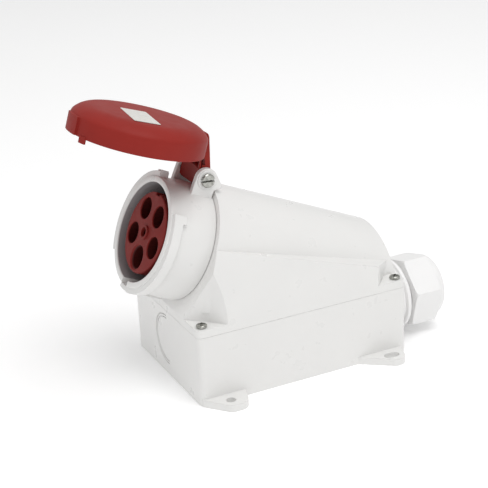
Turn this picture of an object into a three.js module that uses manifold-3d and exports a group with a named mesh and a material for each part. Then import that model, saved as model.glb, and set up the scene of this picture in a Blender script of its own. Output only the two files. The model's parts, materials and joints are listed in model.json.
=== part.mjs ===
// Surface-mounted five-pole industrial socket box with a hinged lid, lying on its back plate.
// Millimetres. X runs across the box, -Y is the socket end, +Y is the cable end, and +Z is up
// from the mounting surface. The origin is the middle of the base's underside.
// The socket is built in its own tilted "mouth" frame: its origin is the middle of the mouth,
// +Z points out of the mouth along the plug's path, and +Y is up across the face.
import * as THREE from 'three';
import { mergeVertices } from 'three/addons/utils/BufferGeometryUtils.js';
import Module from 'manifold-3d';

const wasm = await Module();
wasm.setup();

const GAP = 0.3;                  // clearance between pieces that rest on each other
const BIG = 400;                  // larger than the whole object, for trimming blocks

// Housing
const BOX_WIDTH = 120;
const BOX_LENGTH = 172;
const CORNER_RADIUS = 4;
const SEAM_HEIGHT = 54;
const LEDGE_HEIGHT = 60;
const BASE_WALL = 4;
const BASE_FLOOR = 3;
const HOOD_WALL = 3;
const CORNER_CUT = 24;            // leg of the 45 degree cut over each cover screw
const SIDE_BULGE_RADIUS = 114;    // the hood's side walls curve inwards on this radius
const SHOULDER_HEIGHT = 93.8;     // shoulder plane at the middle of the box
const SHOULDER_SLOPE = -0.2957;

// Mouth and vault, on one axis that leans back into the box
const MOUTH_Y = -98.8;
const MOUTH_Z = 118.8;
const AXIS_LEAN = 24.9;           // degrees below horizontal, going into the box
const HOOD_FACE = 36.3;           // depth of the hood's front face behind the mouth
const VAULT_RADIUS = 47.5;
const VAULT_DRAFT = 0.022;        // radius gained per millimetre of depth
const COLLAR_RADIUS = 43.5;
const COLLAR_FRONT_RADIUS = 41.5;
const COLLAR_NECK_RADIUS = 41.4;
const COLLAR_DEPTH = 56;
const MOUTH_RADIUS = 37;
const FLANGE_RADIUS = 45.5;
const FLANGE_DEPTH = 8;
const PLUG_DEPTH = 48;
const KEYWAY_WIDTH = 9;

// Contacts
const CARRIER_RADIUS = 30.2;
const CARRIER_FACE = 2.7;
const CORE_RADIUS = 27.6;
const CORE_START = 15;
const CONTACT_CIRCLE = 19;
const CONTACT_ANGLES = { l1: -36, l2: 36, l3: 108, earth: 180, neutral: 252 };
const CONTACT_HOLE = 8.1;
const SLEEVE_RADIUS = 6.3;

// Hinge and lid; the lid is drawn closed and turned to its open rest angle
const HINGE_DEPTH = 26;
const HINGE_UP = 51.5;
const PIN_RADIUS = 3;
const LUG_INNER = 14.6;
const LUG_OUTER = 18.6;
const LID_OPEN = 83.1;            // degrees from closed to the rest pose
const LID_RADIUS = 49;
const LID_WALL = 1.5;
const SKIRT_DEPTH = 9.5;          // the skirt's edge, behind the mouth's face
const LID_CROWN = 37;
const ARM_HALF = 14;

// Cable gland
const GLAND_X = 22.7;
const GLAND_Z = 31.9;
const GLAND_THREAD = 18.5;
const NUT_START = 105.6;
const NUT_END = 133;
const NUT_CORNER_RADIUS = 29.4;
const CABLE_RADIUS = 11;

// Fasteners
const COVER_SCREW_X = 54;
const COVER_SCREW_Y = 80;
const COVER_SCREW_HEAD = 4;

const WHITE = { color: 0xe6e5e1, roughness: 0.35, metalness: 0 };
const BRIGHT_WHITE = { color: 0xf2f1f1, roughness: 0.4, metalness: 0 };
const RED = { color: 0xa32a2c, roughness: 0.4, metalness: 0 };
const DARK_RED = { color: 0x93302c, roughness: 0.5, metalness: 0 };
const RUBBER = { color: 0x4a484a, roughness: 0.8, metalness: 0 };
const BRASS = { color: 0xb8954a, roughness: 0.3, metalness: 1 };
const STEEL = { color: 0xa9a9a4, roughness: 0.35, metalness: 1 };
const PAPER = { color: 0xd8d6cf, roughness: 0.6, metalness: 0 };

const sine = Math.sin(THREE.MathUtils.degToRad(AXIS_LEAN));
const cosine = Math.cos(THREE.MathUtils.degToRad(AXIS_LEAN));

const model = new THREE.Group();
const mouth = new THREE.Group();
mouth.position.set(0, MOUTH_Y, MOUTH_Z);
mouth.rotation.x = THREE.MathUtils.degToRad(90 - AXIS_LEAN);
mouth.updateMatrix();
const hinge = new THREE.Group();
hinge.position.set(0, HINGE_UP, -HINGE_DEPTH);
hinge.rotation.x = THREE.MathUtils.degToRad(-LID_OPEN);
const gland = new THREE.Group();
gland.position.set(GLAND_X, BOX_LENGTH / 2, GLAND_Z);
gland.rotation.x = -Math.PI / 2;
model.add(mouth, gland);
mouth.add(hinge);

// ---------------------------------------------------------------- geometry helpers

// Merges shared corners, drops empty triangles and turns the faces outwards.
function closed(geometry) {
  const bare = new THREE.BufferGeometry();
  bare.setAttribute('position', geometry.getAttribute('position').clone());
  if (geometry.index) bare.setIndex(geometry.index.clone());
  const merged = mergeVertices(bare, 1e-4);
  const corners = merged.getAttribute('position');
  const source = merged.index.array;
  const kept = [];
  let volume = 0;
  const [a, b, c] = [new THREE.Vector3(), new THREE.Vector3(), new THREE.Vector3()];
  for (let i = 0; i < source.length; i += 3) {
    const [p, q, r] = [source[i], source[i + 1], source[i + 2]];
    if (p === q || q === r || r === p) continue;
    a.fromBufferAttribute(corners, p);
    b.fromBufferAttribute(corners, q);
    c.fromBufferAttribute(corners, r);
    volume += a.dot(b.cross(c));
    kept.push(p, q, r);
  }
  if (volume < 0) kept.reverse();
  merged.setIndex(kept);
  return merged;
}

function solid(geometry) {
  const shell = closed(geometry);
  return new wasm.Manifold(new wasm.Mesh({
    numProp: 3,
    vertProperties: shell.getAttribute('position').array,
    triVerts: new Uint32Array(shell.index.array),
  }));
}

function addPart(parent, name, body, look) {
  const mesh = body.getMesh();
  const geometry = new THREE.BufferGeometry();
  geometry.setAttribute('position', new THREE.BufferAttribute(mesh.vertProperties, 3));
  geometry.setIndex(new THREE.BufferAttribute(mesh.triVerts, 1));
  const part = new THREE.Mesh(geometry, new THREE.MeshStandardMaterial(look));
  part.name = name;
  parent.add(part);
}

// A profile of [radius, height] points turned about Z; the profile closes on itself or the axis.
function revolve(profile, segments = 40) {
  const points = profile.map(([radius, height]) => new THREE.Vector2(radius, height));
  return solid(new THREE.LatheGeometry(points, segments).rotateX(Math.PI / 2));
}

function rod(radius, low, high, segments = 24) {
  return revolve([[0, low], [radius, low], [radius, high], [0, high]], segments);
}

function pipe(inner, outer, low, high, segments = 40) {
  return revolve([[inner, low], [outer, low], [outer, high], [inner, high], [inner, low]], segments);
}

function outline(points) {
  return new THREE.Shape(points.map(([x, y]) => new THREE.Vector2(x, y)));
}

function prism(shape, low, high, curveSegments = 8) {
  const options = { depth: high - low, bevelEnabled: false, curveSegments };
  return solid(new THREE.ExtrudeGeometry(shape, options).translate(0, 0, low));
}

// A prism whose outline is drawn in Y and Z, extruded along X.
function sidePrism(shape, low, high, curveSegments = 8) {
  const turn = new THREE.Matrix4().makeBasis(
    new THREE.Vector3(0, 1, 0), new THREE.Vector3(0, 0, 1), new THREE.Vector3(1, 0, 0));
  const options = { depth: high - low, bevelEnabled: false, curveSegments };
  const geometry = new THREE.ExtrudeGeometry(shape, options).translate(0, 0, low);
  return solid(geometry.applyMatrix4(turn));
}

// A prism whose outline is drawn in X and Z, extruded along Y.
function endPrism(shape, low, high) {
  const options = { depth: high - low, bevelEnabled: false };
  const geometry = new THREE.ExtrudeGeometry(shape, options).translate(0, 0, -high);
  return solid(geometry.rotateX(Math.PI / 2));
}

function block(low, high) {
  const size = high.map((value, axis) => value - low[axis]);
  const geometry = new THREE.BoxGeometry(...size);
  return solid(geometry.translate(...low.map((value, axis) => value + size[axis] / 2)));
}

function roundedRectangle(width, length, radius) {
  const [x, y] = [width / 2, length / 2];
  const shape = new THREE.Shape();
  shape.moveTo(x - radius, -y);
  shape.absarc(x - radius, -y + radius, radius, -Math.PI / 2, 0);
  shape.absarc(x - radius, y - radius, radius, 0, Math.PI / 2);
  shape.absarc(-x + radius, y - radius, radius, Math.PI / 2, Math.PI);
  shape.absarc(-x + radius, -y + radius, radius, Math.PI, Math.PI * 1.5);
  return shape;
}

function at(body, x, y, z) {
  return body.translate([x, y, z]);
}

function aroundX(body, degrees) {
  return body.rotate([degrees, 0, 0]);
}

// Takes a body drawn in the mouth frame to the object's frame.
function fromMouth(body) {
  return body.transform(mouth.matrix.elements);
}

function polar(radius, degrees) {
  const angle = THREE.MathUtils.degToRad(degrees);
  return [radius * Math.sin(angle), radius * Math.cos(angle)];
}

function fourCorners(x, y) {
  return [[x, -y, 'front_right'], [-x, -y, 'front_left'], [x, y, 'rear_right'], [-x, y, 'rear_left']];
}

// ---------------------------------------------------------------- base box

// A foot with a long slanted side towards the socket end and a square side behind the hole.
function foot(holeY, slantStart, slantEnd, rear, slotHalf) {
  const inside = BOX_WIDTH / 2 - BASE_WALL / 2;
  const wall = BOX_WIDTH / 2;
  const edge = wall + 18;
  const shape = new THREE.Shape();
  shape.moveTo(inside, slantStart);
  shape.lineTo(wall, slantStart);
  shape.lineTo(edge - 2, slantEnd - 2);
  shape.quadraticCurveTo(edge, slantEnd, edge, slantEnd + 3);
  shape.lineTo(edge, rear - 6);
  shape.quadraticCurveTo(edge, rear - 3, edge - 3, rear - 2);
  shape.lineTo(wall, rear + 2);
  shape.lineTo(inside, rear + 2);
  const hole = new THREE.Path();
  const holeX = wall + 9.5;
  hole.absarc(holeX, holeY - slotHalf, 3.6, Math.PI, Math.PI * 2);
  hole.absarc(holeX, holeY + slotHalf, 3.6, 0, Math.PI);
  hole.closePath();
  shape.holes.push(hole);
  return prism(shape, 0, 5.5, 6);
}

// Two concentric grooves that let a round entry be broken out of a wall.
function knockoutGrooves(outerRadius) {
  return pipe(outerRadius - 1, outerRadius, -0.8, 2, 32).add(
    pipe(outerRadius - 3.2, outerRadius - 2.2, -0.8, 2, 32));
}

function makeBase() {
  const top = SEAM_HEIGHT - GAP;
  const [halfWidth, halfLength] = [BOX_WIDTH / 2, BOX_LENGTH / 2];
  let body = prism(roundedRectangle(BOX_WIDTH, BOX_LENGTH, CORNER_RADIUS), 0, top);
  const inner = roundedRectangle(BOX_WIDTH - 2 * BASE_WALL, BOX_LENGTH - 2 * BASE_WALL, 2);
  body = body.subtract(prism(inner, BASE_FLOOR, top + 5));
  for (const [x, y] of fourCorners(COVER_SCREW_X, COVER_SCREW_Y)) {
    body = body.add(at(rod(5.2, 0, top, 16), x, y, 0));
    body = body.subtract(at(rod(2.35, 28, top + 5, 10), x, y, 0));
  }
  const feet = foot(-67.4, -85, -71, -53, 0.01).add(foot(67.3, 43.5, 65, 79, 2.6));
  body = body.add(feet).add(feet.mirror([1, 0, 0]));
  const grooveMiddle = [BOX_WIDTH - BASE_WALL, BOX_LENGTH - BASE_WALL];
  const grooveOut = roundedRectangle(grooveMiddle[0] + 2, grooveMiddle[1] + 2, 3);
  grooveOut.holes.push(roundedRectangle(grooveMiddle[0] - 2, grooveMiddle[1] - 2, 2));
  const bosses = fourCorners(COVER_SCREW_X, COVER_SCREW_Y)
    .map(([x, y]) => at(rod(5.2 + GAP, top - 3, top + 5, 16), x, y, 0))
    .reduce((all, boss) => all.add(boss));
  body = body.subtract(prism(grooveOut, top - 2, top + 5).subtract(bosses));
  const frontGrooves = aroundX(knockoutGrooves(20.5), 90);
  body = body.subtract(at(frontGrooves, 0, -halfLength, 29.5));
  const rearGrooves = aroundX(knockoutGrooves(20.5), -90);
  body = body.subtract(at(rearGrooves, -GLAND_X, halfLength, 29.5));
  const entry = aroundX(rod(GLAND_THREAD + 0.4, -10, 10, 48), 90);
  body = body.subtract(at(entry, GLAND_X, halfLength - 2, GLAND_Z));
  addPart(model, 'base_box', body, WHITE);

  const gasketOut = roundedRectangle(grooveMiddle[0] + 1.2, grooveMiddle[1] + 1.2, 2.6);
  gasketOut.holes.push(roundedRectangle(grooveMiddle[0] - 1.2, grooveMiddle[1] - 1.2, 2.2));
  const gasket = prism(gasketOut, top - 1.7, SEAM_HEIGHT - 0.02, 4);
  const gasketRoom = bosses.add(fourCorners(COVER_SCREW_X, COVER_SCREW_Y)
    .map(([x, y]) => at(rod(5.2 + 2 * GAP, top - 3, top + 5, 16), x, y, 0))
    .reduce((all, boss) => all.add(boss)));
  const strips = gasket.subtract(gasketRoom).decompose();
  const names = ['front', 'rear', 'left', 'right'];
  strips.forEach((strip) => {
    const box = strip.boundingBox();
    const [x, y] = [(box.min[0] + box.max[0]) / 2, (box.min[1] + box.max[1]) / 2];
    let side = x > 0 ? 3 : 2;
    if (Math.abs(y) > halfWidth) side = y > 0 ? 1 : 0;
    addPart(model, `cover_gasket_${names[side]}`, strip, RUBBER);
  });
}

// ---------------------------------------------------------------- hood

function vault(inset) {
  const near = HOOD_FACE + inset;
  const far = near + 180;
  const nearRadius = VAULT_RADIUS - inset;
  const farRadius = nearRadius + VAULT_DRAFT * (far - near);
  return revolve([[0, -near], [nearRadius, -near], [farRadius, -far], [0, -far]], 64);
}

// The part of the hood below the vault: cut corners, curved sides and a sloping shoulder.
function hoodBody(inset) {
  const x = BOX_WIDTH / 2 - inset;
  const y = BOX_LENGTH / 2 - inset;
  const diagonal = BOX_WIDTH / 2 + BOX_LENGTH / 2 - CORNER_CUT - inset * Math.SQRT2;
  const low = SEAM_HEIGHT - inset;
  const plan = outline([
    [x, y - (x + y - diagonal)], [x - (x + y - diagonal), y],
    [-x + (x + y - diagonal), y], [-x, y - (x + y - diagonal)],
    [-x, -y + (x + y - diagonal)], [-x + (x + y - diagonal), -y],
    [x - (x + y - diagonal), -y], [x, -y + (x + y - diagonal)],
  ]);
  const side = [];
  for (let height = 0; height <= 56; height += 8) {
    const lean = SIDE_BULGE_RADIUS - Math.sqrt(SIDE_BULGE_RADIUS ** 2 - height ** 2);
    side.push([x - lean, LEDGE_HEIGHT + height]);
  }
  const otherSide = side.map(([across, height]) => [-across, height]).reverse();
  const section = outline([[x, low - 5], ...side, ...otherSide, [-x, low - 5]]);
  const face = BOX_LENGTH / 2 - inset / cosine;
  const lean = sine / cosine;
  const shoulder = SHOULDER_HEIGHT - inset;
  const topY = (LEDGE_HEIGHT - face / -lean - shoulder) / (SHOULDER_SLOPE - 1 / lean);
  const profile = outline([
    [-face, low - 5], [-face, LEDGE_HEIGHT], [topY, shoulder + SHOULDER_SLOPE * topY],
    [y, shoulder + SHOULDER_SLOPE * y], [y, low - 5],
  ]);
  return prism(plan, low, BIG / 2)
    .intersect(endPrism(section, -BIG / 2, BIG / 2))
    .intersect(sidePrism(profile, -BIG / 2, BIG / 2));
}

function hoodForm(inset) {
  const trim = block([-BIG, -BIG, SEAM_HEIGHT - inset], [BIG, BOX_LENGTH / 2 - inset, BIG]);
  return hoodBody(inset).add(fromMouth(vault(inset)).intersect(trim));
}

function makeHood() {
  const flange = roundedRectangle(BOX_WIDTH, BOX_LENGTH, CORNER_RADIUS);
  let body = hoodForm(0).add(prism(flange, SEAM_HEIGHT, LEDGE_HEIGHT));
  body = body.subtract(hoodForm(HOOD_WALL));
  body = body.subtract(fromMouth(rod(COLLAR_NECK_RADIUS + 0.4, -COLLAR_DEPTH, -20, 56)));
  for (const [x, y] of fourCorners(COVER_SCREW_X, COVER_SCREW_Y)) {
    body = body.subtract(at(rod(2.35, 40, 80, 10), x, y, 0));
    body = body.subtract(at(rod(9.2, LEDGE_HEIGHT, LEDGE_HEIGHT + 7, 24), x, y, 0));
  }
  addPart(model, 'hood', body, WHITE);
}

// A cross-headed screw standing on its threaded shank, with its head's underside at z = 0.
function panScrew(headRadius, headHeight, shankRadius, shankLength) {
  const shoulder = headHeight * 0.55;
  const head = revolve([
    [0, 0], [headRadius, 0], [headRadius, shoulder],
    [headRadius * 0.75, headHeight * 0.88], [0, headHeight],
  ], 16);
  const shank = rod(shankRadius, -shankLength, 0.2, 10);
  const arm = headRadius * 0.55;
  const width = headRadius * 0.11;
  const cross = block([-arm, -width, headHeight * 0.4], [arm, width, headHeight + 1])
    .add(block([-width, -arm, headHeight * 0.4], [width, arm, headHeight + 1]));
  return head.add(shank).subtract(cross);
}

function makeCoverScrews() {
  const screw = panScrew(COVER_SCREW_HEAD, 2.5, 2, 28);
  for (const [x, y, corner] of fourCorners(COVER_SCREW_X, COVER_SCREW_Y)) {
    const turned = screw.rotate([0, 0, x + y]);
    addPart(model, `cover_screw_${corner}`, at(turned, x, y, LEDGE_HEIGHT + GAP), STEEL);
  }
}

// ---------------------------------------------------------------- socket collar

// Part of a ring between two angles, measured clockwise from the top of the face.
function ringSector(inner, outer, from, to, low, high) {
  const [start, end] = [90 - to, 90 - from].map(THREE.MathUtils.degToRad);
  const shape = new THREE.Shape();
  shape.absarc(0, 0, outer, start, end, false);
  shape.absarc(0, 0, inner, end, start, true);
  shape.closePath();
  return prism(shape, low, high, Math.ceil((to - from) / 7));
}

function hingeLug() {
  const tip = 8.3;
  const shape = new THREE.Shape();
  // Drawn with the depth behind the mouth along the first axis and height along the second.
  shape.moveTo(17.7, 38);
  shape.lineTo(34.4, 38);
  shape.lineTo(34.4, 45.4);
  shape.lineTo(39.5, 48.8);
  shape.lineTo(39.5, 50);
  const start = THREE.MathUtils.degToRad(52);
  shape.absarc(HINGE_DEPTH, HINGE_UP, tip, start, Math.PI, false);
  shape.closePath();
  const turn = new THREE.Matrix4().makeBasis(
    new THREE.Vector3(0, 0, -1), new THREE.Vector3(0, 1, 0), new THREE.Vector3(1, 0, 0));
  const options = { depth: LUG_OUTER - LUG_INNER, bevelEnabled: false, curveSegments: 14 };
  const geometry = new THREE.ExtrudeGeometry(shape, options).translate(0, 0, LUG_INNER);
  const bossAtHinge = acrossHinge(rod(7.2, LUG_OUTER - 1, LUG_OUTER + 0.8, 28));
  return solid(geometry.applyMatrix4(turn)).add(bossAtHinge);
}

// Takes a body drawn along Z to the hinge line, along X.
function acrossHinge(body) {
  return at(body.rotate([0, 90, 0]), 0, HINGE_UP, -HINGE_DEPTH);
}

function makeCollar() {
  const front = -0.6;
  let body = revolve([
    [MOUTH_RADIUS + 0.6, 0], [COLLAR_FRONT_RADIUS - 0.6, 0], [COLLAR_FRONT_RADIUS, front],
    [COLLAR_RADIUS, -24], [COLLAR_RADIUS, -35.2], [COLLAR_RADIUS - 0.4, -HOOD_FACE + GAP],
    [42.8, -HOOD_FACE + GAP], [42.8, -34.4], [COLLAR_NECK_RADIUS, -34.4],
    [COLLAR_NECK_RADIUS, -COLLAR_DEPTH], [MOUTH_RADIUS, -COLLAR_DEPTH],
    [MOUTH_RADIUS, -52], [31, -52], [31, -PLUG_DEPTH], [MOUTH_RADIUS, -PLUG_DEPTH],
    [MOUTH_RADIUS, front], [MOUTH_RADIUS + 0.6, 0],
  ], 56);
  // Bayonet segments for a locking ring: two arcs opposite each other, open between them.
  const inner = COLLAR_FRONT_RADIUS - 1.5;
  const bayonet = [[-125, -6], [55, 174]];
  for (const [from, to] of bayonet) {
    body = body.add(ringSector(inner, FLANGE_RADIUS, from, to, -FLANGE_DEPTH, -0.4));
    body = body.add(ringSector(inner, FLANGE_RADIUS, from, from + 8, -FLANGE_DEPTH - 3, -1));
  }
  const keyHousing = ringSector(inner, FLANGE_RADIUS - 0.6, 171, 189, -30, -0.4);
  body = body.add(keyHousing);
  const keyway = block([-KEYWAY_WIDTH / 2, -41.2, -33], [KEYWAY_WIDTH / 2, -30, 5]);
  body = body.subtract(keyway);
  const lug = hingeLug();
  body = body.add(lug).add(lug.mirror([1, 0, 0]));
  body = body.subtract(acrossHinge(rod(PIN_RADIUS + 0.25, -30, 30, 24)));
  for (const angle of [60, 180, 300]) {
    body = body.subtract(at(rod(1.6, -60, -49, 8), ...polar(34, angle), 0));
  }
  addPart(mouth, 'socket_collar', body, WHITE);

  const sealRing = pipe(COLLAR_NECK_RADIUS + 0.2, 42.4, -HOOD_FACE + 0.05, -34.4 - 0.05, 48);
  addPart(mouth, 'collar_seal', sealRing, RUBBER);
  const ringNut = pipe(COLLAR_NECK_RADIUS + GAP, 44.1, -45.6, -HOOD_FACE - HOOD_WALL - GAP, 48);
  let notched = ringNut;
  for (let step = 0; step < 8; step += 1) {
    const notch = block([-2, 42.6, -50], [2, 50, -43]);
    notched = notched.subtract(notch.rotate([0, 0, step * 45]));
  }
  addPart(mouth, 'collar_ring_nut', notched, WHITE);
}

// ---------------------------------------------------------------- contacts

// The red face, with its skirt down to a flange, and the block inside it that holds the sleeves.
function makeCarrier() {
  const face = -CARRIER_FACE;
  let body = revolve([
    [0, face], [CARRIER_RADIUS - 0.8, face], [CARRIER_RADIUS, face - 0.8], [CARRIER_RADIUS, -52.3],
    [36.6, -52.3], [36.6, -COLLAR_DEPTH], [CORE_RADIUS + GAP, -COLLAR_DEPTH],
    [CORE_RADIUS + GAP, -CORE_START + GAP], [0, -CORE_START + GAP],
  ], 48);
  let core = rod(CORE_RADIUS, -COLLAR_DEPTH, -CORE_START, 40);
  for (const angle of Object.values(CONTACT_ANGLES)) {
    const [x, y] = polar(CONTACT_CIRCLE, angle);
    body = body.subtract(at(rod(CONTACT_HOLE, -20, 5, 20), x, y, 0));
    core = core.subtract(at(rod(SLEEVE_RADIUS + GAP, -60, -10, 20), x, y, 0));
  }
  body = body.subtract(rod(3.6, -20, 5, 16));
  core = core.subtract(rod(3, -60, -10, 16));
  for (const angle of [60, 180, 300]) {
    body = body.subtract(at(rod(1.6, -60, -50, 8), ...polar(34, angle), 0));
  }
  body = body.subtract(block([-3, 28.2, -12], [3, 40, 5]));
  addPart(mouth, 'contact_carrier', body, DARK_RED);
  addPart(mouth, 'carrier_core', core, DARK_RED);
}

// The insulating plate that keeps the sleeves in the carrier from behind.
function makeCarrierBack() {
  let body = rod(33, -61, -COLLAR_DEPTH - GAP, 40);
  for (const angle of Object.values(CONTACT_ANGLES)) {
    const [x, y] = polar(CONTACT_CIRCLE, angle);
    body = body.subtract(at(rod(5.2, -70, -50, 16), x, y, 0));
  }
  body = body.subtract(rod(2.6, -70, -50, 12));
  for (const angle of [60, 180, 300]) {
    body = body.subtract(at(rod(3.4, -70, -50, 12), ...polar(34, angle), 0));
  }
  addPart(mouth, 'carrier_back', body, DARK_RED);
}

// A turned sleeve with four spring slits, ending in a square terminal with a wire hole.
function contact(sleeve, bore, tip, terminal) {
  const shoulder = -COLLAR_DEPTH + GAP;
  let body = revolve([
    [bore, tip], [sleeve - 0.8, tip], [sleeve, tip - 0.8], [sleeve, shoulder],
    [terminal * 0.62, shoulder], [terminal * 0.62, -64], [0, -64], [0, -46], [bore, -45],
    [bore, tip],
  ], 16);
  body = body.subtract(block([-10, -0.5, tip - 16], [10, 0.5, tip + 1]));
  body = body.subtract(block([-0.5, -10, tip - 16], [0.5, 10, tip + 1]));
  body = body.add(block([-terminal, -terminal, -82], [terminal, terminal, -62]));
  body = body.subtract(rod(terminal * 0.6, -90, -68, 12));
  const screwHole = aroundX(rod(terminal * 0.42, 0, 20, 10), -90);
  return body.subtract(at(screwHole, 0, 0, -74));
}

function terminalScrew(terminal) {
  const radius = terminal * 0.36;
  const shank = rod(radius, terminal * 0.3, terminal + 2, 10);
  const slot = block([-radius, -0.4, terminal + 1], [radius, 0.4, terminal + 3]);
  return at(aroundX(shank.subtract(slot), -90), 0, 0, -74);
}

function makeContacts() {
  for (const [name, angle] of Object.entries(CONTACT_ANGLES)) {
    const [x, y] = polar(CONTACT_CIRCLE, angle);
    const bore = name === 'earth' ? 5.05 : 4.05;
    const tip = name === 'earth' ? -11 : -17;
    const turn = [0, 0, -angle];
    const body = contact(SLEEVE_RADIUS, bore, tip, 7).rotate(turn);
    addPart(mouth, `contact_${name}`, at(body, x, y, 0), BRASS);
    addPart(mouth, `terminal_screw_${name}`, at(terminalScrew(7).rotate(turn), x, y, 0), STEEL);
  }
  addPart(mouth, 'contact_pilot', contact(2.7, 1.6, -12, 3), BRASS);
  addPart(mouth, 'terminal_screw_pilot', terminalScrew(3), STEEL);
}

function makeCarrierScrews() {
  [60, 180, 300].forEach((angle, index) => {
    const screw = panScrew(3, 2, 1.3, 6).rotate([180, 0, 0]);
    const [x, y] = polar(34, angle);
    addPart(mouth, `carrier_screw_${index + 1}`, at(screw, x, y, -COLLAR_DEPTH - GAP), STEEL);
  });
}

// ---------------------------------------------------------------- hinge

function makeHinge() {
  const end = LUG_OUTER + 0.8 + GAP;
  let pin = rod(PIN_RADIUS, -end - 2.4, end + 0.2, 28).add(rod(5.1, end, end + 2.2, 28));
  pin = pin.subtract(block([-6, -0.6, end + 1], [6, 0.6, end + 4]).rotate([0, 0, -10]));
  pin = pin.subtract(pipe(2.3, 5, -end - 1.6, -end - 0.8, 20));
  addPart(mouth, 'hinge_pin', acrossHinge(pin), STEEL);
  const clip = pipe(2.45, 4.6, -end - 1.5, -end - 0.9, 20)
    .subtract(block([-1.6, 0, -end - 3], [1.6, 8, -end + 3]));
  addPart(mouth, 'hinge_pin_clip', acrossHinge(clip), STEEL);
  for (const [name, side] of [['right', 1], ['left', -1]]) {
    const washer = pipe(PIN_RADIUS + 0.25, 6.4, ARM_HALF + 0.15, LUG_INNER - 0.15, 20);
    const placed = side > 0 ? washer : washer.mirror([0, 0, 1]);
    addPart(mouth, `hinge_washer_${name}`, acrossHinge(placed), RUBBER);
  }
}

// ---------------------------------------------------------------- lid

// Drawn in the closed position about the hinge line: Y is up across the face, Z is outwards.
function makeLid() {
  const middle = -HINGE_UP;                         // the lid's middle, seen from the hinge
  const rim = HINGE_DEPTH - SKIRT_DEPTH;            // height of the skirt's edge above the hinge
  const inner = LID_RADIUS - LID_WALL;
  const shell = revolve([
    [inner, rim], [LID_RADIUS, rim], [LID_RADIUS, 28.4], [LID_RADIUS - 0.5, 29.6],
    [LID_RADIUS - 1.8, 31.8], [LID_RADIUS - 4, 33.9], [LID_RADIUS - 7.3, 35.6],
    [LID_RADIUS - 11, 36.5], [34.5, LID_CROWN], [0, LID_CROWN],
    [0, 34.4], [34, 34.2], [inner - 5.5, 32], [inner - 2.2, 29.6], [inner, 27], [inner, rim],
  ], 60);
  let body = at(shell, 0, middle, 0);
  body = body.add(at(pipe(35.4, 36.6, 28, 35, 40), 0, middle, 0));
  body = body.add(at(pipe(41.9, 43.1, 28, 32, 40), 0, middle, 0));

  // Arm: a barrel round the pin, with two cheeks joined by a front and a rear web.
  const barrel = 7.5;
  const cheek = new THREE.Shape();
  cheek.moveTo(-12, 33.2);
  cheek.lineTo(-12, rim + 3);
  cheek.lineTo(-barrel, rim + 1);
  cheek.absarc(0, 0, barrel, Math.PI, THREE.MathUtils.degToRad(423.4), false);
  cheek.lineTo(-3.8, 30.7);
  cheek.lineTo(-5.6, 32.6);
  cheek.lineTo(-9.1, 33.4);
  cheek.closePath();
  const sideWindow = [[-5, 17], [-2.6, 13], [-1.6, 9.4], [-4.4, 8.8]];
  cheek.holes.push(new THREE.Path(sideWindow.map(([x, y]) => new THREE.Vector2(x, y))));
  const cheekPair = sidePrism(cheek, ARM_HALF - 3.2, ARM_HALF, 9)
    .add(sidePrism(cheek, -ARM_HALF, -ARM_HALF + 3.2, 9));
  const rearWeb = sidePrism(outline([
    [3.3, 6.6], [-3.8, 30.7], [-5.6, 32.6], [-9.1, 33.4], [-12, 33.2], [-12, 31], [-7, 30.4],
    [-6, 29.4], [0.6, 6.4],
  ]), -ARM_HALF + 1, ARM_HALF - 1);
  const frontWeb = block([-ARM_HALF + 1, -barrel, 0], [ARM_HALF - 1, -barrel + 2.4, rim + 1.5]);
  const knuckle = rod(barrel, -ARM_HALF + 1, ARM_HALF - 1, 28).rotate([0, 90, 0]);
  body = body.add(cheekPair).add(rearWeb).add(frontWeb).add(knuckle);
  body = body.subtract(at(rod(inner, -60, 27.9, 60), 0, middle, 0));
  body = body.subtract(at(pipe(36.6, 41.9, 20, 31.5, 40), 0, middle, 0));
  body = body.subtract(rod(PIN_RADIUS + 0.06, -40, 40, 32).rotate([0, 90, 0]));

  // Raised finger pad at the far edge, and a catch tooth below the skirt beside it.
  const pad = ringSector(LID_RADIUS - 1.4, LID_RADIUS + 1.5, 171, 195, rim + 0.3, 29.4);
  const tooth = ringSector(LID_RADIUS - 0.9, LID_RADIUS + 0.7, 158, 165, rim - 3.2, rim + 1.5);
  body = body.add(at(pad, 0, middle, 0)).add(at(tooth, 0, middle, 0));
  addPart(hinge, 'lid_shell', body, RED);

  const gasket = pipe(36.9, 41.6, 26.6, 31.2, 40);
  addPart(hinge, 'lid_gasket', at(gasket, 0, middle, 0), RUBBER);
  const label = block([-20, -9.5, LID_CROWN + 0.05], [20, 9.5, LID_CROWN + 0.3]);
  addPart(hinge, 'lid_label', at(label.rotate([0, 0, -7.3]), 12.3, middle - 6.9, 0), PAPER);
}

// ---------------------------------------------------------------- cable gland

// The gland's own frame: Z runs out of the box from the rear wall, and Y is down.
function hexagon(cornerRadius) {
  const points = [];
  for (let corner = 0; corner < 6; corner += 1) {
    const angle = THREE.MathUtils.degToRad(corner * 60 - 7.5);
    points.push([cornerRadius * Math.cos(angle), cornerRadius * Math.sin(angle)]);
  }
  return outline(points);
}

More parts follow.
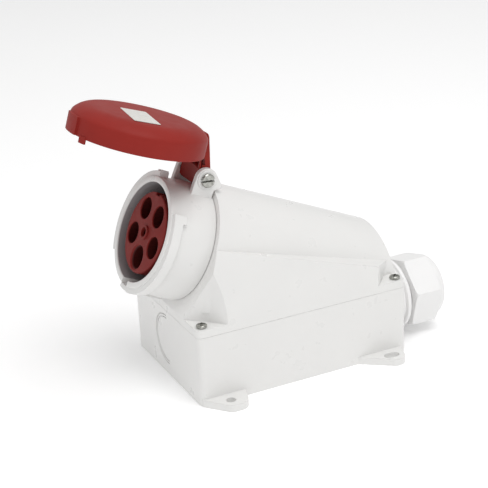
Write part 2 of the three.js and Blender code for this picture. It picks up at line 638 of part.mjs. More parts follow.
function makeGland() {
  const nutLow = NUT_START - BOX_LENGTH / 2;
  const nutHigh = NUT_END - BOX_LENGTH / 2;
  addPart(gland, 'gland_washer', pipe(GLAND_THREAD + 0.4, 25.2, GAP, 3.2, 40), RUBBER);

  const bore = CABLE_RADIUS + 3.5;
  const body = revolve([
    [bore, -13], [GLAND_THREAD, -13], [GLAND_THREAD, 3.5], [26, 3.5], [26, 7.4], [25, 8.2],
    [27, 8.6], [27.5, 9.2], [27.5, 11.4], [26.6, 12.2], [21.6, 12.6], [20.4, 14], [20.4, 28],
    [bore + 2.6, 28], [bore + 2.6, 21], [bore, 19], [bore, -13],
  ], 40);
  addPart(gland, 'gland_body', body, BRIGHT_WHITE);

  let locknut = pipe(GLAND_THREAD + GAP, 23.2, -10, -BASE_WALL - GAP, 32);
  for (let step = 0; step < 6; step += 1) {
    locknut = locknut.subtract(block([-2.5, 21.8, -20], [2.5, 30, 0]).rotate([0, 0, step * 60]));
  }
  addPart(gland, 'gland_locknut', locknut, BRIGHT_WHITE);

  const sleeve = revolve([
    [CABLE_RADIUS, 21.6], [bore + 1.2, 21.8], [bore + 2.3, 22.6], [bore + 2.3, 30],
    [bore + 1, 31.6], [CABLE_RADIUS, 31.6], [CABLE_RADIUS, 21.6],
  ], 40);
  addPart(gland, 'gland_seal', sleeve, RUBBER);

  const thrust = pipe(CABLE_RADIUS + 0.6, 17.2, 32, 33.6, 40);
  addPart(gland, 'gland_thrust_ring', thrust, BRIGHT_WHITE);

  const hex = prism(hexagon(NUT_CORNER_RADIUS), nutLow, nutHigh);
  const form = revolve([
    [0, nutLow], [27.4, nutLow], [29.5, nutLow + 1.6], [29.5, nutLow + 17.5], [27.2, nutLow + 19.4],
    [0, nutLow + 19.4],
  ], 48);
  const cavity = revolve([
    [0, nutLow - 1], [20.8, nutLow - 1], [20.8, 29], [17.6, 33.9], [CABLE_RADIUS + 1.2, 33.9 + 2],
    [CABLE_RADIUS + 1.2, nutHigh + 1], [0, nutHigh + 1],
  ], 36);
  const dome = revolve([
    [0, nutLow + 17], [24.6, nutLow + 17], [24.6, nutLow + 19.6], [23.2, nutLow + 22.6],
    [19.6, nutLow + 25.5], [15, nutHigh], [0, nutHigh],
  ], 48);
  const nut = hex.intersect(form).add(dome).subtract(cavity);
  addPart(gland, 'gland_nut', nut, BRIGHT_WHITE);
}

makeBase();
makeHood();
makeCoverScrews();
makeCollar();
makeCarrier();
makeCarrierBack();
makeContacts();
makeCarrierScrews();
makeHinge();
makeLid();
makeGland();

export default model;
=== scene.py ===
import json
import math

import bpy
from bpy.props import BoolProperty, FloatProperty, FloatVectorProperty, IntProperty, PointerProperty
from mathutils import Matrix, Vector


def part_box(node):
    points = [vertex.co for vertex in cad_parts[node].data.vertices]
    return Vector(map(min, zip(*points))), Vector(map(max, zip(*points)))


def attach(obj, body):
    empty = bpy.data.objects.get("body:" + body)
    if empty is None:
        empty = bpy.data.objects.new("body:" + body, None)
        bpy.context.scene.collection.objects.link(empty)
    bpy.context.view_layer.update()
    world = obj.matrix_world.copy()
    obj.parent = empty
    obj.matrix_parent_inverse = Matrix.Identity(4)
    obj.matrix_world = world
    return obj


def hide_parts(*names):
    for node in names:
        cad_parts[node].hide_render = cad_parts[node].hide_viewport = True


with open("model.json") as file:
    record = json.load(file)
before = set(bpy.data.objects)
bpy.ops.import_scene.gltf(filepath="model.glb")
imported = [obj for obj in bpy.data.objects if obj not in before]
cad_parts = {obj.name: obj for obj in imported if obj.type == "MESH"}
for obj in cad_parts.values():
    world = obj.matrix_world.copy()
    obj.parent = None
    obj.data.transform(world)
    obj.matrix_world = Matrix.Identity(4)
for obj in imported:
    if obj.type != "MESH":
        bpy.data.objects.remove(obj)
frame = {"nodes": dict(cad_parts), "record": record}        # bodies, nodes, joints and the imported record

bl_info = {
    "name": "Surface Socket Box",
    "version": (1, 0, 0),
    "blender": (4, 5, 0),
    "location": "3D View > Sidebar > Socket Box",
    "description": "Builds a surface-mounted industrial socket box with an open hinged lid",
    "category": "Object",
}

# Pieces are drawn in millimetres and brought to metres when they are finished.
MILLIMETRE = 0.001
BIG = 400.0                       # reaches past the whole object, for trimming shapes
GAP = 0.3                         # clearance between pieces that rest on each other

# Housing: X runs across, -Y is the socket end, +Y the cable end, +Z is up from the mounting face
HOOD_LOW, HOOD_HIGH = ([round(value / MILLIMETRE, 2) for value in corner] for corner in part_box("hood"))
BOX_WIDTH = HOOD_HIGH[0] - HOOD_LOW[0]
BOX_LENGTH = HOOD_HIGH[1] - HOOD_LOW[1]
SEAM_HEIGHT = HOOD_LOW[2]
LEDGE_HEIGHT = SEAM_HEIGHT + 6.0
CORNER_RADIUS = 4.0
BASE_WALL = 4.0
BASE_FLOOR = 3.0
CORNER_CUT = 24.0                 # leg of the 45 degree cut over each cover screw
SIDE_CURVE = 114.0                # the hood's side walls curve inwards on this radius
SHOULDER_HEIGHT = 93.8
SHOULDER_SLOPE = -0.2957
POST_RADIUS = 5.2
PILOT_HOLE = 2.35
COVER_SCREWS = {
    "front_right": (54, -80), "front_left": (-54, -80), "rear_right": (54, 80), "rear_left": (-54, 80)}

# Mouth frame: Z points out of the mouth, along the plug's path, and Y is up across its face
AXIS_LEAN = 24.9                  # degrees below level, going into the box
HOOD_FACE = 36.3
VAULT_RADIUS = 47.5
VAULT_DRAFT = 0.022
COLLAR_RADIUS = 43.5
NECK_RADIUS = 41.4
COLLAR_DEPTH = 56.0
MOUTH_RADIUS = 37.0
FLANGE_RADIUS = 45.5

# Contacts, by their angle clockwise from the top of the face
CONTACT_CIRCLE = 19.0
CONTACT_ANGLES = {"l1": -36, "l2": 36, "l3": 108, "earth": 180, "neutral": 252}
CARRIER_FACE = -2.7
SLEEVE_RADIUS = 6.3

# Hinge and lid; the lid is drawn closed about the hinge line and turned open
HINGE_DEPTH = 26.0
HINGE_UP = 51.5
PIN_RADIUS = 3.0
PIN_END = 19.7
ARM_HALF = 14.0
LID_OPEN = 83.1
LID_RADIUS = 49.0
LID_CROWN = 37.0
SKIRT_EDGE = 16.5

# Cable gland
GLAND_X = 22.7
GLAND_Z = 31.9
GLAND_THREAD = 18.5
NUT_LOW = 19.6
NUT_HIGH = 47.0

MOUTH = Matrix.Translation((0, -98.8, 118.8)) @ Matrix.Rotation(math.radians(90 - AXIS_LEAN), 4, "X")
HINGE = MOUTH @ Matrix.Translation((0, HINGE_UP, -HINGE_DEPTH))
LID = HINGE @ Matrix.Rotation(math.radians(-LID_OPEN), 4, "X")
GLAND = Matrix.Translation((GLAND_X, BOX_LENGTH / 2, GLAND_Z)) @ Matrix.Rotation(-math.pi / 2, 4, "X")
ALONG_X = Matrix.Rotation(math.pi / 2, 4, "Y")
ALONG_Y = Matrix.Rotation(math.pi / 2, 4, "X")
SIDEWAYS = Matrix(((0, 0, 1, 0), (1, 0, 0, 0), (0, 1, 0, 0), (0, 0, 0, 1)))
MIRROR_X = Matrix.Scale(-1, 4, (1, 0, 0))


# ---------------------------------------------------------------- settings


class SocketBoxHousing(bpy.types.PropertyGroup):
    hood_wall: FloatProperty(
        name="Hood Wall", description="Thickness of the hood's wall", default=0.003, unit="LENGTH")
    knockout_radius: FloatProperty(
        name="Knock-out Radius", description="Outer radius of the knock-out grooves", default=0.0205,
        unit="LENGTH")
    groove_depth: FloatProperty(
        name="Groove Depth", description="Depth of the knock-out grooves", default=0.0008, unit="LENGTH")
    foot_hole_radius: FloatProperty(
        name="Foot Hole Radius", description="Half the width of the mounting holes", default=0.0036,
        unit="LENGTH")


class SocketBoxSocket(bpy.types.PropertyGroup):
    lip: FloatProperty(
        name="Lip", description="How far the mouth's lip stands before the locking segments", default=0.0011,
        unit="LENGTH")
    hole_radius: FloatProperty(
        name="Contact Hole Radius", description="Radius of the holes in the red face", default=0.0081,
        unit="LENGTH")
    bore_radius: FloatProperty(
        name="Sleeve Bore", description="Inner radius of the line and neutral sleeves", default=0.00405,
        unit="LENGTH")
    earth_bore_radius: FloatProperty(
        name="Earth Bore", description="Inner radius of the earth sleeve", default=0.00505, unit="LENGTH")


class SocketBoxFasteners(bpy.types.PropertyGroup):
    head_radius: FloatProperty(
        name="Head Radius", description="Radius of the cover screws' heads", default=0.004, unit="LENGTH")
    head_height: FloatProperty(
        name="Head Height", description="Height of the cover screws' heads", default=0.0025, unit="LENGTH")
    carrier_screws: IntProperty(
        name="Carrier Screws", description="Screws that hold the contact carrier", default=3, min=1, max=3)
    slot_angle: FloatProperty(
        name="Slot Angle", description="Turn of the slot in the hinge pin's head", default=math.radians(22),
        subtype="ANGLE")
    slot_width: FloatProperty(
        name="Slot Width", description="Width of the slot in the hinge pin's head", default=0.0013,
        unit="LENGTH")


class SocketBoxLid(bpy.types.PropertyGroup):
    wall: FloatProperty(
        name="Lid Wall", description="Thickness of the lid's skirt", default=0.0015, unit="LENGTH")
    show_label: BoolProperty(
        name="Label", description="Put the blank label on the lid", default=True)
    label_width: FloatProperty(
        name="Label Width", description="Longer side of the label", default=0.04, unit="LENGTH")
    label_length: FloatProperty(
        name="Label Length", description="Shorter side of the label", default=0.019, unit="LENGTH")
    label_turn: FloatProperty(
        name="Label Turn", description="Angle of the label on the lid", default=math.radians(-7.3),
        subtype="ANGLE")


class SocketBoxGland(bpy.types.PropertyGroup):
    nut_corner: FloatProperty(
        name="Nut Corner Radius", description="Radius of the cap nut over its corners", default=0.0294,
        unit="LENGTH")
    nut_turn: FloatProperty(
        name="Nut Turn", description="Angle of the cap nut's first corner", default=math.radians(-14.5),
        subtype="ANGLE")


class SocketBoxFinishes(bpy.types.PropertyGroup):
    white: FloatVectorProperty(
        name="Housing", description="Colour of the base, hood and collar", default=(0.79, 0.785, 0.77),
        subtype="COLOR")
    gland_white: FloatVectorProperty(
        name="Gland", description="Colour of the cable gland", default=(0.87, 0.865, 0.86), subtype="COLOR")
    lid_red: FloatVectorProperty(
        name="Lid", description="Colour of the lid", default=(0.29, 0.024, 0.018), subtype="COLOR")
    insert_red: FloatVectorProperty(
        name="Contact Face", description="Colour of the contact carrier", default=(0.225, 0.022, 0.018),
        subtype="COLOR")
    # Painted shade: a darker grey on the collar's inner wall, standing in for the shade deep in the mouth.
    mouth_shade_paint: FloatVectorProperty(
        name="Mouth Painted Shade", description="Colour of the collar's inner wall", default=(0.3, 0.285, 0.29),
        subtype="COLOR")
    # Painted shade: a near-black red down in the contact holes, standing in for the shade in them.
    hole_shade_paint: FloatVectorProperty(
        name="Hole Painted Shade", description="Colour down in the contact holes", default=(0.06, 0.007, 0.006),
        subtype="COLOR")
    soft_edge: FloatProperty(
        name="Soft Edge", description="Radius that the shading gives to moulded edges", default=0.0006,
        unit="LENGTH")


class SocketBoxStage(bpy.types.PropertyGroup):
    sky: FloatProperty(name="Sky", description="Strength of the even white light", default=0.62)
    floor_glow: FloatProperty(name="Floor Glow", description="Light that the pale floor adds", default=0.11)
    key_power: FloatProperty(
        name="Key Light", description="Power of the large light above the long side", default=15.5,
        subtype="POWER")
    fill_power: FloatProperty(
        name="Fill Light", description="Power of the light before the mouth", default=1.0, subtype="POWER")
    top_power: FloatProperty(
        name="Top Light", description="Power of the light overhead", default=3.0, subtype="POWER")


class SocketBoxSettings(bpy.types.PropertyGroup):
    housing: PointerProperty(type=SocketBoxHousing, name="Housing", description="Base and hood")
    socket: PointerProperty(type=SocketBoxSocket, name="Socket", description="Collar and contacts")
    fasteners: PointerProperty(type=SocketBoxFasteners, name="Fasteners", description="Screws and hinge pin")
    lid: PointerProperty(type=SocketBoxLid, name="Lid", description="Lid and label")
    gland: PointerProperty(type=SocketBoxGland, name="Gland", description="Cable gland")
    finishes: PointerProperty(type=SocketBoxFinishes, name="Finishes", description="Colours")
    stage: PointerProperty(type=SocketBoxStage, name="Stage", description="Floor and lights")


def settings():
    return bpy.context.scene.socket_box


def millimetres(length):
    """A setting in millimetres, without the noise of its single precision."""
    return round(length / MILLIMETRE, 4)


# ---------------------------------------------------------------- mesh helpers


def make_object(name, vertices, faces):
    mesh = bpy.data.meshes.new(name)
    mesh.from_pydata(vertices, [], faces)
    mesh.update()
    obj = bpy.data.objects.new(name, mesh)
    bpy.context.scene.collection.objects.link(obj)
    return obj


def discard(obj):
    mesh = obj.data
    bpy.data.objects.remove(obj)
    bpy.data.meshes.remove(mesh)


def signed_area(points):
    return sum(a[0] * b[1] - b[0] * a[1] for a, b in zip(points, points[1:] + points[:1]))


def revolve(profile, segments=96):
    """A closed profile of (radius, height) turned about Z; points on the axis become poles."""
    rings = []
    vertices = []
    for radius, height in profile:
        count = 1 if radius == 0 else segments
        rings.append(range(len(vertices), len(vertices) + count))
        for step in range(count):
            angle = 2 * math.pi * step / segments
            vertices.append((radius * math.cos(angle), radius * math.sin(angle), height))
    faces = []
    for low, high in zip(rings, rings[1:] + rings[:1]):
        if len(low) == 1 and len(high) == 1:
            continue
        for step in range(segments):
            after = (step + 1) % segments
            face = [low[step % len(low)], low[after % len(low)],
                    high[after % len(high)], high[step % len(high)]]
            faces.append([corner for i, corner in enumerate(face) if corner not in face[:i]])
    if signed_area(profile) < 0:
        faces = [face[::-1] for face in faces]
    return make_object("turned", vertices, faces)


def rod(radius, low, high, segments=64, edge=0.0):
    """A round bar along Z, with a chamfer of the given leg on both ends."""
    profile = [(0, low), (radius, low), (radius, high), (0, high)]
    if edge:
        profile = [(0, low), (radius - edge, low), (radius, low + edge), (radius, high - edge),
                   (radius - edge, high), (0, high)]
    return revolve(profile, segments)


def pipe(inner, outer, low, high, segments=96, edge=0.0):
    """A round tube along Z, with a chamfer of the given leg on all four edges."""
    profile = [(inner, low), (outer, low), (outer, high), (inner, high)]
    if edge:
        profile = [(inner + edge, low), (outer - edge, low), (outer, low + edge), (outer, high - edge),
                   (outer - edge, high), (inner + edge, high), (inner, high - edge), (inner, low + edge)]
    return revolve(profile, segments)


def prism(points, low, high, turn=None):
    """An outline drawn in X and Y, raised from low to high, then turned by a matrix."""
    count = len(points)
    outline = list(points) if signed_area(points) > 0 else list(points)[::-1]
    vertices = [(x, y, low) for x, y in outline] + [(x, y, high) for x, y in outline]
    faces = [list(range(count))[::-1], list(range(count, 2 * count))]
    faces += [[i, (i + 1) % count, count + (i + 1) % count, count + i] for i in range(count)]
    obj = make_object("prism", vertices, faces)
    return place(obj, turn) if turn else obj


def block(low, high):
    (x0, y0, z0), (x1, y1, z1) = low, high
    return prism([(x0, y0), (x1, y0), (x1, y1), (x0, y1)], z0, z1)


def place(obj, matrix):
    """Moves the mesh itself; a mirror keeps the faces outwards."""
    obj.data.transform(matrix)
    if matrix.to_3x3().determinant() < 0:
        obj.data.flip_normals()
    return obj


def shift(obj, x, y, z):
    return place(obj, Matrix.Translation((x, y, z)))


def spin(obj, degrees, axis="Z"):
    return place(obj, Matrix.Rotation(math.radians(degrees), 4, axis))


def at_hinge(obj):
    """Takes a shape drawn along Z to the hinge line, in the mouth frame."""
    return shift(place(obj, ALONG_X), 0, HINGE_UP, -HINGE_DEPTH)


def arc(x, y, radius, start, end, steps=12):
    points = []
    for step in range(steps + 1):
        angle = math.radians(start + (end - start) * step / steps)
        points.append((x + radius * math.cos(angle), y + radius * math.sin(angle)))
    return points


def polar(radius, degrees):
    """A point by its angle clockwise from the top."""
    return radius * math.sin(math.radians(degrees)), radius * math.cos(math.radians(degrees))


def rounded_rectangle(width, length, radius, steps=8):
    x, y = width / 2 - radius, length / 2 - radius
    return (arc(x, -y, radius, -90, 0, steps) + arc(x, y, radius, 0, 90, steps)
            + arc(-x, y, radius, 90, 180, steps) + arc(-x, -y, radius, 180, 270, steps))


def bake(obj):
    """Replaces the object's mesh by its evaluated one and clears its modifiers."""
    bpy.context.view_layer.update()
    evaluated = obj.evaluated_get(bpy.context.evaluated_depsgraph_get())
    mesh = bpy.data.meshes.new_from_object(evaluated)
    old = obj.data
    obj.modifiers.clear()
    obj.data = mesh
    bpy.data.meshes.remove(old)
    return obj


def combine(operation, first, *others):
    for other in others:
        modifier = first.modifiers.new("combine", "BOOLEAN")
        modifier.operation = operation
        modifier.solver = "MANIFOLD"
        modifier.object = other
        bake(first)
        discard(other)
    if not first.data.polygons:
        raise RuntimeError("a combined shape came out empty")
    return first


def join(first, *others):
    return combine("UNION", first, *others)


def cut(first, *others):
    return combine("DIFFERENCE", first, *others)


def common(first, *others):
    return combine("INTERSECT", first, *others)


def copy(obj):
    twin = bpy.data.objects.new(obj.name, obj.data.copy())
    bpy.context.scene.collection.objects.link(twin)
    return twin


def repeat_round_tree(material):
    """The geometry node tree that sets copies of a shape evenly round Z; returns it and its inputs."""
    tree = bpy.data.node_groups.new("Repeat Round", "GeometryNodeTree")
    sockets = {}
    tree.interface.new_socket("Geometry", in_out="INPUT", socket_type="NodeSocketGeometry")
    for label, kind in (("Count", "Int"), ("Radius", "Float"), ("Start Angle", "Float")):
        socket = tree.interface.new_socket(label, in_out="INPUT", socket_type=f"NodeSocket{kind}")
        sockets[label] = socket.identifier
    tree.interface.new_socket("Geometry", in_out="OUTPUT", socket_type="NodeSocketGeometry")
    nodes, links = tree.nodes, tree.links
    source = nodes.new("NodeGroupInput")
    points = nodes.new("GeometryNodePoints")
    index = nodes.new("GeometryNodeInputIndex")
    step = nodes.new("ShaderNodeMath")
    step.operation = "DIVIDE"
    step.inputs[0].default_value = 2 * math.pi
    angle = nodes.new("ShaderNodeMath")
    angle.operation = "MULTIPLY_ADD"
    rotation = nodes.new("ShaderNodeCombineXYZ")
    offset = nodes.new("ShaderNodeCombineXYZ")
    turned = nodes.new("ShaderNodeVectorRotate")
    turned.rotation_type = "Z_AXIS"
    instances = nodes.new("GeometryNodeInstanceOnPoints")
    real = nodes.new("GeometryNodeRealizeInstances")
    paint = nodes.new("GeometryNodeSetMaterial")
    paint.inputs["Material"].default_value = material
    target = nodes.new("NodeGroupOutput")
    links.new(source.outputs["Count"], points.inputs["Count"])
    links.new(source.outputs["Count"], step.inputs[1])
    links.new(index.outputs[0], angle.inputs[0])
    links.new(step.outputs[0], angle.inputs[1])
    links.new(source.outputs["Start Angle"], angle.inputs[2])
    links.new(angle.outputs[0], rotation.inputs["Z"])
    links.new(source.outputs["Radius"], offset.inputs["X"])
    links.new(offset.outputs[0], turned.inputs["Vector"])
    links.new(angle.outputs[0], turned.inputs["Angle"])
    links.new(turned.outputs[0], points.inputs["Position"])
    links.new(points.outputs[0], instances.inputs["Points"])
    links.new(source.outputs["Geometry"], instances.inputs["Instance"])
    links.new(rotation.outputs[0], instances.inputs["Rotation"])
    links.new(instances.outputs[0], real.inputs[0])
    links.new(real.outputs[0], paint.inputs["Geometry"])
    links.new(paint.outputs[0], target.inputs[0])
    return tree, sockets


def repeat_round(obj, count, radius, start, material):
    """Copies a shape evenly round the Z axis, as one plain mesh."""
    tree, sockets = repeat_round_tree(material)
    modifier = obj.modifiers.new("Repeat Round", "NODES")
    modifier.node_group = tree
    modifier[sockets["Count"]] = count
    modifier[sockets["Radius"]] = radius
    modifier[sockets["Start Angle"]] = math.radians(start)
    return bake(obj)


def finish_piece(obj, name, node, body, slot, material=None):
    """Brings a piece to metres, shades it, gives it its material, hides its node or nodes and parents it to
    its body.
    """
    obj.name = name
    obj.data.name = name
    obj.data.transform(Matrix.Scale(MILLIMETRE, 4))
    mesh = obj.data
    mesh.shade_smooth()
    mesh.set_sharp_from_angle(angle=math.radians(32))
    mesh.materials.clear()
    mesh.materials.append(bpy.data.materials[material or slot])
    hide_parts(*([node] if isinstance(node, str) else node))
    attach(obj, body)


# ---------------------------------------------------------------- materials


class Shader:
    """A principled material with its nodes added one after another."""

    def __init__(self, name):
        self.material = bpy.data.materials.get(name) or bpy.data.materials.new(name)
        self.material.use_nodes = True
        self.tree = self.material.node_tree
        self.tree.nodes.clear()
        self.output = self.add("ShaderNodeOutputMaterial")
        self.surface = self.add("ShaderNodeBsdfPrincipled")
        self.link(self.surface.outputs[0], self.output.inputs[0])
        self.place = self.add("ShaderNodeTexCoord").outputs["Object"]

    def add(self, kind, **values):
        node = self.tree.nodes.new(kind)
        for key, value in values.items():
            setattr(node, key, value)
        return node

    def link(self, source, target):
        self.tree.links.new(source, target)

    def set(self, **values):
        """Sets the principled shader's sockets that stay the same all over the surface."""
        for key, value in values.items():
            self.surface.inputs[key.replace("_", " ")].default_value = value

    def noise(self, scale, detail=3.0, roughness=0.5, stretch=None):
        node = self.add("ShaderNodeTexNoise")
        node.inputs["Scale"].default_value = scale
        node.inputs["Detail"].default_value = detail
        node.inputs["Roughness"].default_value = roughness
        where = self.place
        if stretch:
            mapping = self.add("ShaderNodeMapping")
            mapping.inputs["Scale"].default_value = stretch
            self.link(where, mapping.inputs[0])
            where = mapping.outputs[0]
        self.link(where, node.inputs["Vector"])
        return node.outputs["Fac"]

    def spread(self, value, low, high, start=0.3, end=0.7):
        node = self.add("ShaderNodeMapRange")
        node.inputs["From Min"].default_value = start
        node.inputs["From Max"].default_value = end
        node.inputs["To Min"].default_value = low
        node.inputs["To Max"].default_value = high
        self.link(value, node.inputs["Value"])
        return node.outputs[0]

    def mix(self, factor, first, second):
        node = self.add("ShaderNodeMix", data_type="RGBA")
        self.link(factor, node.inputs["Factor"])
        for socket, value in ((node.inputs[6], first), (node.inputs[7], second)):
            if isinstance(value, bpy.types.NodeSocket):
                self.link(value, socket)
            else:
                socket.default_value = (*value, 1)
        return node.outputs[2]

    def math(self, operation, first, second):
        node = self.add("ShaderNodeMath", operation=operation)
        for socket, value in zip(node.inputs, (first, second)):
            if isinstance(value, (int, float)):
                socket.default_value = value
            else:
                self.link(value, socket)
        return node.outputs[0]

    def relief(self, height, strength, distance, edge=0.0):
        """Fine bumps from a height, over a normal that is rounded along the edges."""
        bump = self.add("ShaderNodeBump")
        bump.inputs["Strength"].default_value = strength
        bump.inputs["Distance"].default_value = distance
        self.link(height, bump.inputs["Height"])
        if edge:
            rounded = self.add("ShaderNodeBevel", samples=12)
            rounded.inputs["Radius"].default_value = edge
            self.link(rounded.outputs[0], bump.inputs["Normal"])
        self.link(bump.outputs[0], self.surface.inputs["Normal"])

    def painted_edge_highlight(self, radius):
        """Near 1 along edges, from how far a rounded normal leans from the true one; it places a painted edge
        highlight.
        """
        rounded = self.add("ShaderNodeBevel", samples=4)
        rounded.inputs["Radius"].default_value = radius
        plain = self.add("ShaderNodeNewGeometry")
        dot = self.add("ShaderNodeVectorMath", operation="DOT_PRODUCT")
        self.link(rounded.outputs[0], dot.inputs[0])
        self.link(plain.outputs["Normal"], dot.inputs[1])
        return self.spread(dot.outputs["Value"], 1.0, 0.0, 0.88, 0.995)

    def inside_mouth(self, radius, depth):
        """1 on surfaces nearer the mouth's axis than the radius and deeper than the depth."""
        mapping = self.add("ShaderNodeMapping", vector_type="TEXTURE")
        mapping.inputs["Location"].default_value = MOUTH.translation * MILLIMETRE
        mapping.inputs["Rotation"].default_value = MOUTH.to_euler()
        self.link(self.place, mapping.inputs[0])
        parts = self.add("ShaderNodeSeparateXYZ")
        self.link(mapping.outputs[0], parts.inputs[0])
        squares = [self.math("MULTIPLY", parts.outputs[axis], parts.outputs[axis]) for axis in (0, 1)]
        distance = self.math("SQRT", self.math("ADD", *squares), 0.0)
        near = self.spread(distance, 1.0, 0.0, radius - 0.0001, radius + 0.0001)
        deep = self.spread(parts.outputs[2], 1.0, 0.0, -depth - 0.0006, -depth)
        return self.math("MULTIPLY", near, deep)


def moulded_plastic(name, color, shade, rough, edge, grain, coat=0.0, gloss=0.5, depth_shade_paint=None, highlight_amount=0.0):
    """Moulded plastic: faint cloudy colour, fine spark-eroded grain and softened edges, with painted
    highlight and painted shade where asked.

    This painted shade is a radius, a depth and a darker colour painted on the surfaces inside the mouth,
    standing in for the shade there.
    """
    shader = Shader(name)
    cloud = shader.spread(shader.noise(26, 4, 0.6), 0.0, 1.0)
    body = shader.mix(cloud, color, shade)
    # Painted highlight: a lighter colour along the edges, standing in for the light caught on rounded edges.
    if highlight_amount:
        highlight_color = tuple(min(1.0, value * 1.06 + 0.01) for value in color)
        body = shader.mix(shader.math("MULTIPLY", shader.painted_edge_highlight(edge * 1.4), highlight_amount), body, highlight_color)
    # Painted shade: darkens the surfaces deep inside the mouth, standing in for the shade there.
    if depth_shade_paint:
        radius, depth, dark = depth_shade_paint
        body = shader.mix(shader.inside_mouth(radius, depth), body, dark)
    shader.link(body, shader.surface.inputs["Base Color"])
    scuffs = shader.spread(shader.noise(90, 3, 0.5), rough - 0.03, rough + 0.04)
    shader.link(scuffs, shader.surface.inputs["Roughness"])
    shader.relief(shader.noise(1500, 2), grain, 0.00004, edge)
    shader.set(Coat_Weight=coat, Coat_Roughness=0.12, IOR=1.5, Specular_IOR_Level=gloss)


def rubber():
    """Black rubber with a grey bloom and a dull, fine-grained skin."""
    shader = Shader("rubber")
    bloom = shader.spread(shader.noise(160, 5, 0.7), 0.0, 1.0, 0.35, 0.75)
    color = shader.mix(bloom, (0.026, 0.025, 0.026), (0.06, 0.058, 0.057))
    shader.link(color, shader.surface.inputs["Base Color"])
    shader.link(shader.spread(shader.noise(300, 3), 0.55, 0.8), shader.surface.inputs["Roughness"])
    shader.relief(shader.noise(1800, 3), 0.3, 0.00006, 0.0003)


def metal(name, color, tarnish, rough, stretch):
    """Plated or turned metal: fine tool lines, and a little dulling in patches."""
    shader = Shader(name)
    patches = shader.spread(shader.noise(420, 5, 0.7), 0.0, 1.0, 0.42, 0.72)
    shader.link(shader.mix(patches, color, tarnish), shader.surface.inputs["Base Color"])
    shader.set(Metallic=1.0)
    lines = shader.noise(1500, 4, 0.6, stretch)
    shader.link(shader.spread(lines, rough - 0.08, rough + 0.14), shader.surface.inputs["Roughness"])
    shader.relief(lines, 0.25, 0.00003, 0.0002)


def label_foil():
    """A blank foil label: off-white and faintly fibrous, with light scuffs."""
    shader = Shader("label")
    fibres = shader.spread(shader.noise(500, 5, 0.6), 0.0, 1.0)
    shader.link(shader.mix(fibres, (0.62, 0.6, 0.56), (0.74, 0.73, 0.7)), shader.surface.inputs["Base Color"])
    shader.link(shader.spread(shader.noise(60, 3), 0.35, 0.55), shader.surface.inputs["Roughness"])
    shader.relief(shader.noise(900, 3), 0.15, 0.00004)


def make_materials():
    """Makes every finish; each is named for its slot, and the collar's has painted shade of its own inside
    the mouth.
    """
    paint = settings().finishes
    edge = paint.soft_edge
    white_shade = (0.775, 0.77, 0.757)
    moulded_plastic("white", paint.white, white_shade, 0.3, edge, 0.04, coat=0.15)
    # The collar's own material paints shade on its inner wall, deep in the mouth.
    moulded_plastic("collar_white", paint.white, white_shade, 0.3, edge, 0.04, coat=0.15,
                    depth_shade_paint=(0.0373, 0.0006, paint.mouth_shade_paint))
    moulded_plastic("gland_white", paint.gland_white, (0.85, 0.845, 0.84), 0.42, edge - 0.0001, 0.06)
    # The lid's edges get a painted highlight.
    moulded_plastic("lid_red", paint.lid_red, (0.255, 0.02, 0.015), 0.5, edge - 0.0001, 0.25,
                    gloss=0.14, highlight_amount=0.5)
    # Painted shade: the contact face's material darkens the surfaces down in its holes.
    moulded_plastic("insert_red", paint.insert_red, (0.19, 0.017, 0.014), 0.5, edge - 0.0002, 0.18,
                    gloss=0.16, depth_shade_paint=(0.0284, 0.0034, paint.hole_shade_paint))
    rubber()
    metal("brass", (0.62, 0.42, 0.14), (0.42, 0.27, 0.09), 0.28, (1, 1, 1))
    metal("steel", (0.46, 0.46, 0.43), (0.2, 0.2, 0.18), 0.24, (1, 6, 1))
    label_foil()


# ---------------------------------------------------------------- base and hood

SEAM_GAP = 0.12
FOOT_REACH = 18.0
FOOT_HEIGHT = 5.5
KNOCKOUT_Z = 29.5
VAULT_LENGTH = 180.0


def foot(hole_y, slant_start, slant_end, rear, slot_half):
    """A lug beside the box, with rounded corners and a hole that may be drawn out into a slot."""
    wall = BOX_WIDTH / 2
    edge = wall + FOOT_REACH
    plan = [(wall - 2, slant_start), (wall, slant_start), (edge - 2.5, slant_end - 1.2)]
    plan += arc(edge - 6, slant_end + 3.8, 6, -50, 0, 8)
    plan += arc(edge - 8, rear - 9.6, 8, 0, 76, 10)
    plan += [(wall, rear + 2), (wall - 2, rear + 2)]
    radius = millimetres(settings().housing.foot_hole_radius)
    middle = wall + 9.5
    hole = arc(middle, hole_y - slot_half, radius, 180, 360) + arc(middle, hole_y + slot_half, radius, 0, 180)
    return cut(prism(plan, 0, FOOT_HEIGHT), prism(hole, -1, FOOT_HEIGHT + 2.5))


def knockout():
    """Two concentric grooves that let a round entry be broken out of a wall."""
    radius = millimetres(settings().housing.knockout_radius)
    depth = millimetres(settings().housing.groove_depth)
    return join(pipe(radius - 1, radius, -depth, 2), pipe(radius - 3.2, radius - 2.2, -depth, 2))


def seal_groove(top):
    """The groove for the cover gasket, which stops short of the screw posts."""
    groove = cut(prism(rounded_rectangle(BOX_WIDTH - 2, BOX_LENGTH - 2, 3), top - 2, top + 5),
                 prism(rounded_rectangle(BOX_WIDTH - 6, BOX_LENGTH - 6, 2), top - 3, top + 6))
    for x, y in COVER_SCREWS.values():
        groove = cut(groove, shift(rod(POST_RADIUS + 0.3, top - 4, top + 6, 32), x, y, 0))
    return groove


